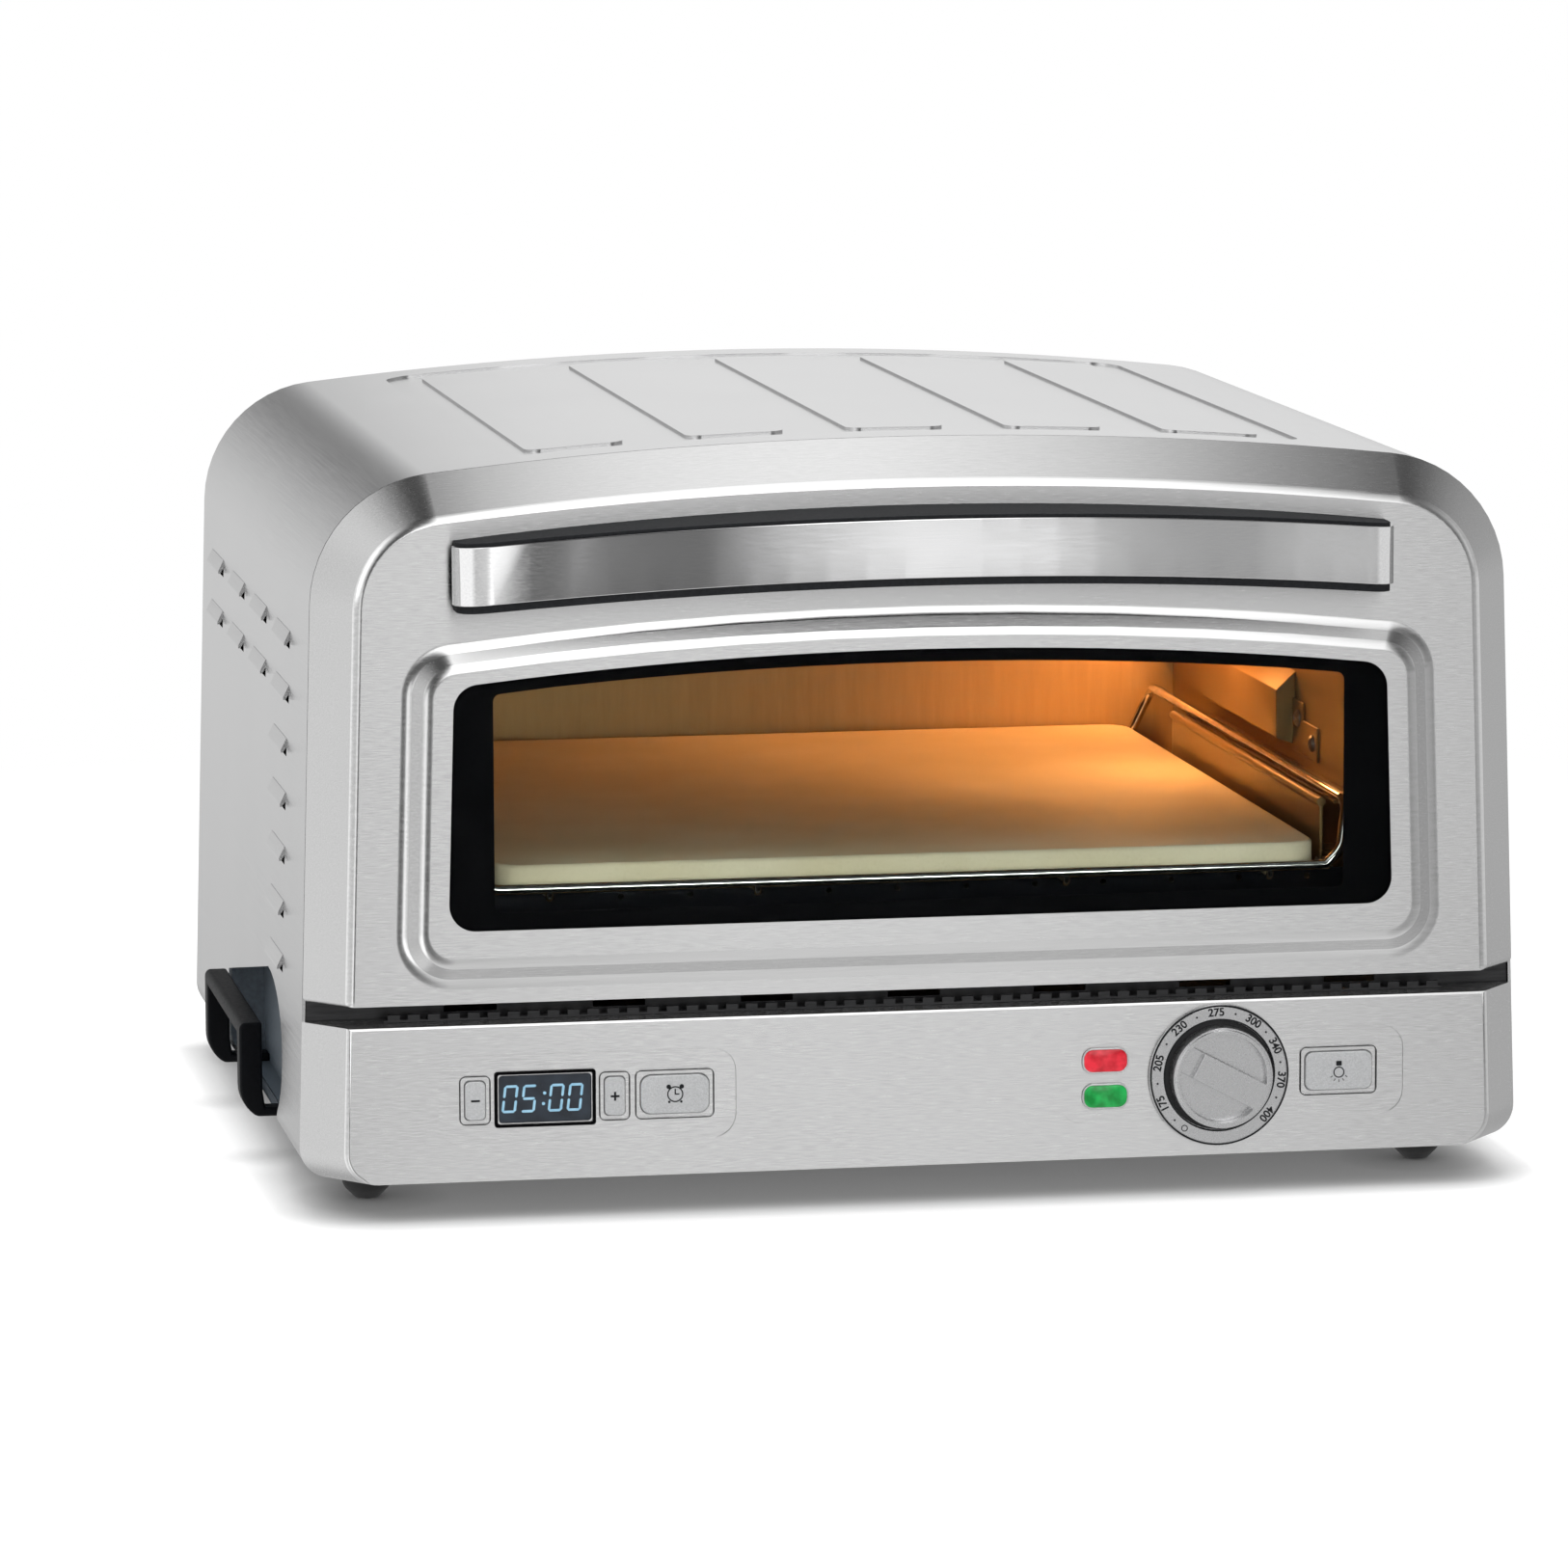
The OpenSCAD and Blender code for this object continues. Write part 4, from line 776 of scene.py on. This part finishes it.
class OVEN_OT_display(OvenOperator):
    """Builds the timer's window, its digits and the two indicator lenses"""

    bl_idname = "oven.display"
    bl_label = "Display and lenses"

    def build(self, sizes, light):
        dress("display_window", "timer_window", smoked_window(), "oven", "display_glass", 0.25 * MM)
        bezel = plate("timer_bezel", [
            outline_of(*DISPLAY, 0.3 * MM, 1.2 * MM), outline_of(*DISPLAY, -0.9 * MM, 0.8 * MM),
        ], PANEL_Y - 0.15 * MM, 0.15 * MM)
        put_on(bezel, fired_border(), "oven", "display_glass")
        bars = [plate("bar", [shape], DISPLAY[0].y - 0.12 * MM, 0.1 * MM) for shape in self.digits(sizes)]
        put_on(joined("timer_digits", bars), lit_segment(), "oven", "display_glass")
        for node, name, make in (
            ("power_lens", "lens_red", red_lens),
            ("ready_lens", "lens_green", green_lens),
        ):
            low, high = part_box(node)
            tall = high.z - low.z
            outline = outline_of(low, high, 0, tall * 0.4)
            lens = plate(name, [outline], low.y, high.y - low.y, 0.5 * MM)
            put_on(lens, make(), "oven", name, node)
            rim = [outline_of(low, high, 0.7 * MM, tall * 0.5), outline]
            collar = plate(name + "_collar", rim, PANEL_Y - 0.3 * MM, 0.3 * MM, 0.1 * MM)
            put_on(collar, key_lacquer(), "oven", "panel_steel")

    def digits(self, sizes):
        """The outlines of the leaning digits and of the two dots between hours and minutes."""
        size = sizes.digit_height
        step = size * 0.68
        middle = (DISPLAY[0].x + DISPLAY[1].x) / 2
        low = CONTROL_Z - size / 2
        lean = 0.12
        shapes = []
        for mark, start in zip(sizes.time, (-2.32, -1.32, 0.12, 1.12)):
            shapes += seven_segments(mark, size, middle + start * step, low, lean)
        for height in (0.3, 0.68):
            cx = middle - 0.14 * step + lean * size * height
            shapes.append(circle(cx, low + size * height, size * 0.06, 10))
        return shapes


def minus_sign(x, z):
    """A bar."""
    left, right = x - SIGN_HALF, x + SIGN_HALF
    return [[[(left, z - SIGN_BAR), (right, z - SIGN_BAR), (right, z + SIGN_BAR), (left, z + SIGN_BAR)]]]


def plus_sign(x, z):
    """An upright cross."""
    corner = [(-SIGN_HALF, -SIGN_BAR), (-SIGN_BAR, -SIGN_BAR), (-SIGN_BAR, -SIGN_HALF)]
    outline = []
    for _ in range(4):
        outline += [(x + px, z + pz) for px, pz in corner]
        corner = [(-pz, px) for px, pz in corner]
    return [[outline]]


def clock_sign(x, z):
    """An alarm clock: a round face with two bells, two feet and its hands."""
    r = 3.1 * MM
    hand = 0.25 * MM
    shapes = [[circle(x, z, r), circle(x, z, r - 0.5 * MM)]]
    for side in (-1, 1):
        shapes.append([circle(x + side * 2.5 * MM, z + 2.9 * MM, 0.9 * MM, 10)])
        shapes.append([circle(x + side * 2.3 * MM, z - 2.9 * MM, 0.5 * MM, 10)])
    shapes.append([[
        (x - hand, z - hand), (x + 1.6 * MM, z - hand), (x + 1.6 * MM, z + hand),
        (x + hand, z + hand), (x + hand, z + 2.1 * MM), (x - hand, z + 2.1 * MM),
    ]])
    return shapes


def bulb_sign(x, z):
    """A bulb that hangs from its cap, with rays of two dots under it."""
    r = 2.2 * MM
    cz = z - 0.6 * MM
    cap = cz + r + 0.3 * MM
    shapes = [
        [circle(x, cz, r), circle(x, cz, r - 0.45 * MM)],
        [rounded_box(x - 1.1 * MM, x + 1.1 * MM, cap, cap + 1.9 * MM, 0.3 * MM)],
    ]
    for turn in range(-150, 0, 30):
        ray = math.radians(turn)
        for reach in (3.1 * MM, 3.6 * MM):
            shapes.append([circle(x + reach * math.cos(ray), cz + reach * math.sin(ray), 0.24 * MM, 6)])
    return shapes


class OVEN_OT_keys(OvenOperator):
    """Builds the four keys and the plain signs on them"""

    bl_idname = "oven.keys"
    bl_label = "Keys"

    def build(self, sizes, light):
        lacquer = key_lacquer()
        ink = printed_ink()
        dark = gap_shade_black()
        signs = {
            "minus_key": minus_sign, "plus_key": plus_sign, "start_key": clock_sign, "lamp_key": bulb_sign,
        }
        for name, sign in signs.items():
            low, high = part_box(name)
            dress(name, name + "_cap", lacquer, name, "key_silver", 0.45 * MM, 3)
            shapes = sign((low.x + high.x) / 2, CONTROL_Z)
            marks = [plate("sign", shape, low.y - 0.08 * MM, 0.1 * MM) for shape in shapes]
            put_on(joined(name + "_sign", marks), ink, name, "key_silver")
            # A thin black ring round each key is painted shade in the gap between the key and the panel.
            gap = [outline_of(low, high, 0.5 * MM, 2.4 * MM), outline_of(low, high, 0.15 * MM, 1.8 * MM)]
            gap_shade_ring = plate(name + "_surround", gap, PANEL_Y - 0.12 * MM, 0.12 * MM)
            put_on(gap_shade_ring, dark, "oven", "handle_black")


class OVEN_OT_dial(OvenOperator):
    """Builds the dial ring with its marks and its dark lines of painted shade, the black painted shade in the
    gap round the knob, and the knob
    """

    bl_idname = "oven.dial"
    bl_label = "Dial"

    def build(self, sizes, light):
        metal = turned_aluminium()
        ink = printed_ink()
        dress("dial_ring", "dial_ring_skin", metal, "oven", "ring_steel", 0.3 * MM)
        # A black sheet in the ring's bore is painted shade in the gap round the knob.
        opening = [circle(DIAL_X, CONTROL_Z, 21.2 * MM, 60), circle(DIAL_X, CONTROL_Z, 4.2 * MM)]
        well = plate("dial_gap_shade", opening, PANEL_Y - 0.2 * MM, 0.2 * MM)
        put_on(well, gap_shade_black(), "oven", "handle_black")
        # Dark lines at the ring's outer and inner edges, in the printed ink, are painted shade along its rims.
        for name, outer, inner in (("ring_rim_shade_line", 27.2, 26.5), ("ring_lip_shade_line", 21.9, 21.35)):
            line = [circle(DIAL_X, CONTROL_Z, r * MM, 120) for r in (outer, inner)]
            put_on(plate(name, line, RING[0].y - 0.05 * MM, 0.06 * MM), ink, "oven", "handle_black")
        marks = joined("dial_marks", self.marks(sizes.dial_low, RING[0].y - 0.06 * MM))
        put_on(marks, ink, "oven", "handle_black")
        dress("knob", "knob_skin", metal, "dial", "knob_metal", 0.5 * MM, 3)

    def marks(self, first, front):
        """Plain numbers round the ring, with dots between them and an off sign."""
        angles = (-115, -77, -40, -3, 33, 64, 96, 130)
        steps = (0, 30, 55, 100, 125, 165, 195, 225)
        pieces = [self.number(str(first + step), angle, front) for angle, step in zip(angles, steps)]
        between = [(a + b) / 2 for a, b in zip(angles, angles[1:])]
        for angle in between + [-134]:
            pieces.append(plate("dot", [circle(*self.spot(angle), 0.42 * MM, 10)], front, INK))
        off = [circle(*self.spot(-146), r * MM) for r in (1.3, 0.95)]
        pieces.append(plate("off", off, front, INK))
        return pieces

    def spot(self, angle):
        """The place of a mark, by its angle from the top."""
        turn = math.radians(90 - angle)
        return DIAL_X + MARKS_RADIUS * math.cos(turn), CONTROL_Z + MARKS_RADIUS * math.sin(turn)

    def number(self, text, angle, front):
        """One number, its foot towards the dial's middle."""
        activate()
        bpy.ops.object.text_add()
        label = bpy.context.active_object
        label.data.body = text
        label.data.size = 4.3 * MM
        label.data.align_x = "CENTER"
        label.data.align_y = "CENTER"
        label.data.extrude = INK / 2
        label.data.offset = 0.11 * MM
        activate(label)
        bpy.ops.object.convert(target="MESH")
        piece = bpy.context.active_object
        x, z = self.spot(angle)
        turned = Matrix.Rotation(math.radians(angle), 4, "Y") @ Matrix.Rotation(math.pi / 2, 4, "X")
        piece.matrix_world = Matrix.Translation((x, front + INK / 2, z)) @ turned
        settle(piece)
        return piece


class OVEN_OT_door(OvenOperator):
    """Builds the door's shell, its panes with their black border, and the inner panel"""

    bl_idname = "oven.door"
    bl_label = "Door"

    def build(self, sizes, light):
        dress_sheet("door_shell", "door_skin", "door", "door_steel", sizes.edge, sizes.bend, 5)
        dress("door_glass", "window_pane", window_glass(), "door", "window_glass", 0.3 * MM)
        dress("door_inner_glass", "inner_pane", inner_glass(), "door", "clear_glass", 0.3 * MM)
        half = PANE[1].x - 1 * MM
        low = PANE[0].z + 1 * MM
        top = PANE[1].z - 0.5 * MM
        ink = arched_box(half, low, top, 9 * MM)
        view = arched_box(half - sizes.border_side, low + sizes.border_low, top - sizes.border_top, 3 * MM)
        border = plate("window_border", [ink, view], PANE[1].y + 0.05 * MM, 0.2 * MM)
        put_on(border, fired_border(), "door", "window_glass")
        dress("door_inner_panel", "door_liner", plain_steel(), "door", "chamber_steel", 0.2 * MM)


class OVEN_OT_handle(OvenOperator):
    """Builds the door handle's body and its steel strap"""

    bl_idname = "oven.handle"
    bl_label = "Door handle"

    def build(self, sizes, light):
        dress("handle_body", "handle_grip", handle_plastic(), "door", "handle_grey", sizes.soft_edge, 3)
        dress("handle_strap", "handle_band", polished_steel(), "door", "strap_steel", 0.35 * MM)


class OVEN_OT_rack(OvenOperator):
    """Builds the bent wire rack and the stone"""

    bl_idname = "oven.rack"
    bl_label = "Rack and stone"

    def build(self, sizes, light):
        r = sizes.wire / 2
        front = RACK[0].y + r
        back = RACK[1].y - r
        side = RACK[1].x - r
        high = RACK[1].z - r
        low = STONE[0].z + r + 0.5 * MM
        half = [
            (side - 10 * MM, front, low), (side - 4 * MM, front, low + 6 * MM),
            (side, front + 9 * MM, high - 3 * MM), (side, front + 14 * MM, high),
            (side, back - 2 * MM, high), (side - 11 * MM, back, low),
        ]
        mirrored = [(-x, y, z) for x, y, z in reversed(half)]
        wires = [tube("wire", rounded_path(half + mirrored + half[:1], 8 * MM)[:-1], r, True, 5)]
        cross = RACK[0].z + 1.5 * MM
        for x in (-140, -60, 60, 140):
            line = [(x * MM, front, low), (x * MM, front, cross), (x * MM, back, cross), (x * MM, back, low)]
            wires.append(tube("wire", rounded_path(line, 2.5 * MM), 1.5 * MM, False, 3))
        put_on(joined("rack_wires", wires), chrome_plate(), "rack", "rack_chrome", "wire_rack")
        dress("pizza_stone", "stone_slab", fired_stone(), "rack", "stone_cream", 1.5 * MM, 3)


class OVEN_OT_chamber(OvenOperator):
    """Builds the guides, the lamp housing, the chamber's walls and the sill"""

    bl_idname = "oven.chamber"
    bl_label = "Chamber"

    def build(self, sizes, light):
        # The chamber steel's straw colour is partly painted warm light of the lamp.
        warm = chamber_steel()
        for node, name, width, slot in (
            ("rack_guides", "guide_rails", 0.3, "chamber_steel"),
            ("lamp_cover", "lamp_housing", 0.8, "lamp_glass"),
            ("cavity_liner", "chamber_walls", 0.2, "chamber_steel"),
        ):
            dress(node, name, warm, "oven", slot, width * MM)
        dress("cavity_sill", "chamber_sill", enamelled_steel(), "oven", "dark_steel", 0.3 * MM)


class OVEN_OT_screws(OvenOperator):
    """Builds the cross-recess screw heads on the rear cover and in the chamber"""

    bl_idname = "oven.screws"
    bl_label = "Screws"

    def build(self, sizes, light):
        steel = plain_steel()
        groups = (("cover_screws", (0, 1, 0)), ("lamp_screws", (-1, 0, 0)))
        for node, axis in groups:
            heads = [self.head(place, size, Vector(axis)) for place, size in self.places(node)]
            put_on(joined(node + "_heads", heads), steel, "oven", "pin_steel", node)

    def places(self, node):
        """The middle and the radius of each separate head of a node."""
        piece = skin_of(node, "heads")
        edit(piece, lambda: bpy.ops.mesh.separate(type="LOOSE"))
        parts = list(bpy.context.selected_objects)
        found = []
        for part in parts:
            corners = [v.co for v in part.data.vertices]
            low = Vector([min(c[i] for c in corners) for i in range(3)])
            high = Vector([max(c[i] for c in corners) for i in range(3)])
            found.append(((low + high) / 2, (high.z - low.z) / 2))
            bpy.data.objects.remove(part)
        return found

    def head(self, place, radius, axis):
        """A domed head with a cross sunk in it."""
        activate()
        bpy.ops.mesh.primitive_uv_sphere_add(segments=24, ring_count=12, radius=radius)
        dome = bpy.context.active_object
        flat_foot = {"plane_co": (0, 0, 0), "plane_no": (0, 0, 1), "clear_inner": True, "use_fill": True}
        edit(dome, lambda: bpy.ops.mesh.bisect(**flat_foot))
        dome.scale = (1, 1, 0.55)
        settle(dome)
        for turn in (0, math.pi / 2):
            activate()
            bpy.ops.mesh.primitive_cube_add(size=1, location=(0, 0, radius * 0.5))
            slot = bpy.context.active_object
            slot.scale = (radius * 1.1, radius * 0.24, radius * 0.5)
            slot.rotation_euler = (0, 0, turn)
            settle(slot)
            modify(dome, "BOOLEAN", operation="DIFFERENCE", object=slot, solver="EXACT")
            bpy.data.objects.remove(slot)
        dome.rotation_euler = axis.to_track_quat("Z", "Y").to_euler()
        dome.location = place - axis * 1.0 * MM
        settle(dome)
        return dome


class OVEN_OT_inside(OvenOperator):
    """Gives the carried-over inner pieces their finishes"""

    bl_idname = "oven.inside"
    bl_label = "Inner pieces"

    def build(self, sizes, light):
        steel = plain_steel()
        dark = handle_plastic()
        sheath = heater_sheath()
        ceramic = fired_ceramic()
        finishes = {
            "rear_cover": steel, "base_plate": steel, "foot_screws": steel, "rear_spacers": dark,
            "cord_gland": foot_rubber(), "hinge_brackets": steel, "upper_heaters": sheath,
            "lower_heaters": sheath, "heater_holders": ceramic, "lamp_bulb": lamp_bulb_glass(),
            "lamp_socket": ceramic, "timer_board": circuit_board(), "board_posts": steel,
            "thermostat": steel, "glass_clips": steel, "handle_screws": steel, "hinge_pins": steel,
            "knob_shaft": steel,
        }
        for node, material in finishes.items():
            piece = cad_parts[node]
            if not piece.material_slots:
                piece.data.materials.append(None)
            for place in piece.material_slots:
                place.material = material


class OVEN_OT_stage(OvenOperator):
    """Builds the floor, the studio lights, the chamber's light and the camera"""

    bl_idname = "oven.stage"
    bl_label = "Stage"

    def build(self, sizes, light):
        self.floor()
        self.world()
        self.lights(light)
        self.camera()

    def floor(self):
        """A white floor that keeps the oven's soft shadow, deepened close to the oven by a painted contact
        shadow, and fades to pure white.
        """
        activate()
        bpy.ops.mesh.primitive_plane_add(size=24)
        floor = bpy.context.active_object
        floor.name = "floor"
        material, tree = new_material("paper_white")
        fibres = object_noise(tree, 200, detail=2.0).outputs[0]
        base = add_node(tree, "ShaderNodeBsdfDiffuse", {"Color": tinted(tree, fibres, "#f2f2f2", "#f6f6f6")})
        # Ambient occlusion dims the floor's glow close to the oven: a painted contact shadow.
        near = add_node(tree, "ShaderNodeAmbientOcclusion", {"Distance": 0.024}, samples=16)
        lift = arithmetic(tree, "MULTIPLY", arithmetic(tree, "POWER", near.outputs["AO"], 2.2), 0.75)
        glow = add_node(tree, "ShaderNodeEmission", {"Color": srgb("#ffffff"), "Strength": lift})
        shade = add_node(tree, "ShaderNodeBsdfDiffuse", {"Color": srgb("#a0a0a0")})
        lit = add_node(tree, "ShaderNodeAddShader", {0: shade.outputs[0], 1: glow.outputs[0]})
        white = add_node(tree, "ShaderNodeEmission", {"Color": srgb("#ffffff"), "Strength": 1.0})
        place = add_node(tree, "ShaderNodeTexCoord")
        far = add_node(tree, "ShaderNodeVectorMath", {0: place.outputs["Object"]}, operation="LENGTH")
        fade = spread(tree, far.outputs["Value"], 0.0, 1.0, 0.45, 1.1)
        path = add_node(tree, "ShaderNodeLightPath")
        faded = arithmetic(tree, "MULTIPLY", fade, path.outputs["Is Camera Ray"])
        seen = mix_shaders(tree, path.outputs["Is Camera Ray"], base, mix_shaders(tree, faded, lit, white))
        clear = add_node(tree, "ShaderNodeBsdfTransparent")
        shown = mix_shaders(tree, path.outputs["Is Glossy Ray"], seen, clear)
        add_node(tree, "ShaderNodeOutputMaterial", {"Surface": shown.outputs[0]})
        floor.data.materials.append(material)

    def world(self):
        """A white room for the light and the camera. Metal sees a studio in it: a white ceiling panel with
        dark gaps beside it, a bright wall low in the rear, and bright and dark screens in front."""
        world = bpy.data.worlds.new("white_room")
        bpy.context.scene.world = world
        world.use_nodes = True
        tree = world.node_tree
        tree.nodes.clear()
        place = add_node(tree, "ShaderNodeTexCoord")
        split = add_node(tree, "ShaderNodeSeparateXYZ", {0: place.outputs["Generated"]})
        x, y, z = (split.outputs[axis] for axis in "XYZ")
        above = self.screens(tree, x, (
            (-1, 0.93), (-0.92, 0.87), (-0.85, 1.05), (-0.77, 1.18), (-0.62, 1.02), (-0.5, 0.65),
            (-0.33, 0.18), (-0.24, 0.06), (-0.04, 0.05), (0.0, 0.5), (0.04, 1.33), (0.17, 1.37),
            (0.27, 1.0), (0.32, 0.5),
            (0.37, 0.1), (0.48, 0.09), (0.58, 0.15), (0.75, 0.32), (0.82, 0.46), (0.92, 0.52), (1, 0.55),
        ))
        strap = self.screens(tree, x, (
            (-1, 0.25), (-0.9, 0.5), (-0.62, 0.75), (-0.4, 0.85), (-0.3, 1.1), (-0.25, 1.35),
            (-0.235, 0.16), (-0.2, 0.2), (-0.18, 0.45), (-0.155, 0.27), (-0.05, 0.2), (-0.02, 0.48),
            (0.03, 0.84), (0.1, 1.12), (0.29, 1.2),
            (0.33, 0.95), (0.38, 0.6), (0.46, 0.46), (0.5, 0.46), (0.54, 0.66), (0.6, 0.68), (0.9, 0.6),
        ))
        front = self.screens(tree, x, (
            (-0.9, 0.95), (-0.65, 0.7), (-0.5, 0.7), (-0.38, 1.2), (-0.28, 1.8), (-0.24, 0.2), (-0.1, 0.12),
            (0.02, 0.2), (0.1, 0.4), (0.14, 0.66), (0.18, 0.86), (0.22, 0.68), (0.27, 0.46), (0.4, 0.34),
            (0.8, 0.45), (1, 0.5),
        ))
        rear = self.screens(tree, x, (
            (-1, 0.8), (-0.2, 0.6), (-0.12, 0.42), (-0.06, 0.22), (0.02, 0.25), (0.07, 0.6), (0.12, 0.97),
            (0.2, 0.97), (0.4, 0.9), (1, 0.6),
        ))
        level = self.screens(tree, z, (
            (-1, 0.6), (-0.2, 0.54), (-0.12, 0.76), (0, 0.7), (0.1, 0.62), (1, 0.6),
        ))
        dimmed = arithmetic(tree, "MULTIPLY", front, 0.8)
        brighter = arithmetic(tree, "MULTIPLY", front, 1.14)
        ceiling = arithmetic(tree, "MULTIPLY", above, 1.5)
        soft = self.blend(tree, brighter, dimmed, z, -0.175, -0.155)
        soft = self.blend(tree, soft, strap, z, -0.128, -0.123)
        soft = self.blend(tree, soft, dimmed, z, -0.1, -0.095)
        ahead = self.blend(tree, soft, ceiling, z, -0.02, 0.05)
        ahead = self.blend(tree, 0.75, ahead, z, -0.6, -0.4)
        behind = self.blend(tree, level, rear, z, 0.0, 0.1)
        side = self.blend(tree, self.blend(tree, level, 1.06, x, -0.5, -0.8), above, z, -0.05, 0.05)
        room = self.blend(tree, side, behind, y, 0.5, 0.75)
        room = self.blend(tree, ahead, room, y, -0.5, -0.3)
        studio, plain, white, dim = (
            add_node(tree, "ShaderNodeBackground", {"Color": srgb(code), "Strength": strength})
            for code, strength in (("#ffffff", room), ("#f4f4f4", 0.62), ("#ffffff", 1.0), ("#ffffff", 0.1))
        )
        path = add_node(tree, "ShaderNodeLightPath")
        shiny = mix_shaders(tree, path.outputs["Is Glossy Ray"], plain, studio)
        depths = (path.outputs["Glossy Depth"], path.outputs["Diffuse Depth"])
        bounced = arithmetic(tree, "ADD", *depths, use_clamp=True)
        out = mix_shaders(tree, bounced, white, dim)
        glazed = mix_shaders(tree, path.outputs["Is Transmission Ray"], shiny, out)
        seen = mix_shaders(tree, path.outputs["Is Camera Ray"], glazed, white)
        add_node(tree, "ShaderNodeOutputWorld", {"Surface": seen.outputs[0]})

    def blend(self, tree, first, second, value, start, end):
        """Goes from one brightness to another as a direction's part goes from start to end."""
        amount = spread(tree, value, 0, 1, start, end)
        return add_node(tree, "ShaderNodeMix", {0: amount, 2: first, 3: second}).outputs[0]

    def screens(self, tree, value, stops):
        """Brightness by a direction's part along one axis, as [part, brightness]."""
        ramp = add_node(tree, "ShaderNodeValToRGB", {0: spread(tree, value, 0, 1, -1, 1)})
        elements = ramp.color_ramp.elements
        full = max(bright for _, bright in stops)
        for element, (part, bright) in zip(elements, (stops[0], stops[-1])):
            element.position = (part + 1) / 2
            element.color = (bright / full, bright / full, bright / full, 1)
        for part, bright in stops[1:-1]:
            element = elements.new((part + 1) / 2)
            element.color = (bright / full, bright / full, bright / full, 1)
        return arithmetic(tree, "MULTIPLY", ramp.outputs[0], full)

    def area(self, name, place, aim, size, power, colour=(1, 1, 1), shines=False):
        """A soft light that faces a point. Metal shows only the lights that shine."""
        activate()
        bpy.ops.object.light_add(type="AREA", location=place)
        lamp = bpy.context.active_object
        lamp.name = name
        lamp.data.shape = "RECTANGLE"
        lamp.data.size, lamp.data.size_y = size
        lamp.data.energy = power
        lamp.data.color = colour
        lamp.visible_glossy = shines
        lamp.rotation_euler = (Vector(place) - Vector(aim)).to_track_quat("Z", "Y").to_euler()
        return lamp

    def lights(self, light):
        """A large key on the upper left, a fill on the right, a top light, two lights for the chamber's lamp,
        and a soft one that looks in at the window."""
        self.area("key", (-1.2, -1.0, 2.0), MIDDLE, (1.6, 1.2), light.key_power * 0.6)
        self.area("fill", (1.9, -1.4, 0.9), MIDDLE, (0.9, 1.2), light.fill_power)
        self.area("overhead", (0, 0.1, 1.9), MIDDLE, (1.5, 1.2), light.key_power)
        rear = LAMP[1].y + 46 * MM
        side = LINER[1].x - 17 * MM
        self.area(
            "chamber_lamp", (side, rear, LAMP[1].z - 2 * MM), (0.02, rear + 0.02, 0.11),
            (0.02, 0.02), light.lamp_power, light.lamp, True,
        )
        self.area(
            "chamber_top", (side - 0.01, LAMP[0].y + 0.1, LINER[1].z - 5 * MM),
            (side, LAMP[0].y + 0.09, 0.15), (0.02, 0.08), light.lamp_power * 0.4, light.lamp, True,
        )
        self.area("window_light", (-0.1, -1.3, 0.25), (0, 0, 0.13), (0.7, 0.3), light.fill_power * 0.85)

    def camera(self):
        """The photograph's viewpoint, with its slight roll."""
        azimuth, elevation, roll = (math.radians(a) for a in VIEW_TURN)
        level = math.cos(elevation)
        forward = Vector((-math.sin(azimuth) * level, math.cos(azimuth) * level, -math.sin(elevation)))
        right = Vector((math.cos(azimuth), math.sin(azimuth), 0))
        up = right.cross(forward)
        turned_right = right * math.cos(roll) + up * math.sin(roll)
        turned_up = up * math.cos(roll) - right * math.sin(roll)
        activate()
        bpy.ops.object.camera_add()
        camera = bpy.context.active_object
        axes = Matrix((turned_right, turned_up, -forward)).transposed().to_4x4()
        camera.matrix_world = Matrix.Translation(VIEW_FROM) @ axes
        camera.data.sensor_width = 36
        camera.data.lens = VIEW_LENS
        camera.data.clip_end = 60
        bpy.context.scene.camera = camera
        bpy.context.scene.view_settings.view_transform = "Standard"


OPERATORS = (
    OVEN_OT_stage, OVEN_OT_case, OVEN_OT_panel, OVEN_OT_display, OVEN_OT_keys, OVEN_OT_dial, OVEN_OT_door,
    OVEN_OT_handle, OVEN_OT_rack, OVEN_OT_chamber, OVEN_OT_screws, OVEN_OT_inside,
)


class OVEN_PT_panel(bpy.types.Panel):
    """Lists the oven's sizes, its light and its groups of pieces"""

    bl_idname = "OVEN_PT_panel"
    bl_label = "Pizza Oven"
    bl_space_type = "VIEW_3D"
    bl_region_type = "UI"
    bl_category = "Pizza Oven"

    def draw(self, context):
        for group in (context.scene.oven_sizes, context.scene.oven_light):
            for name in group.__annotations__:
                self.layout.prop(group, name)
        for operator in OPERATORS:
            self.layout.operator(operator.bl_idname)


CLASSES = (OvenSizes, OvenLight) + OPERATORS + (OVEN_PT_panel,)


def register():
    for item in CLASSES:
        bpy.utils.register_class(item)
    bpy.types.Scene.oven_sizes = PointerProperty(type=OvenSizes)
    bpy.types.Scene.oven_light = PointerProperty(type=OvenLight)


def unregister():
    del bpy.types.Scene.oven_light
    del bpy.types.Scene.oven_sizes
    for item in reversed(CLASSES):
        bpy.utils.unregister_class(item)


def main():
    """Builds every group in order."""
    register()
    for operator in OPERATORS:
        group, name = operator.bl_idname.split(".")
        getattr(getattr(bpy.ops, group), name)()


if __name__ == "__main__":
    main()
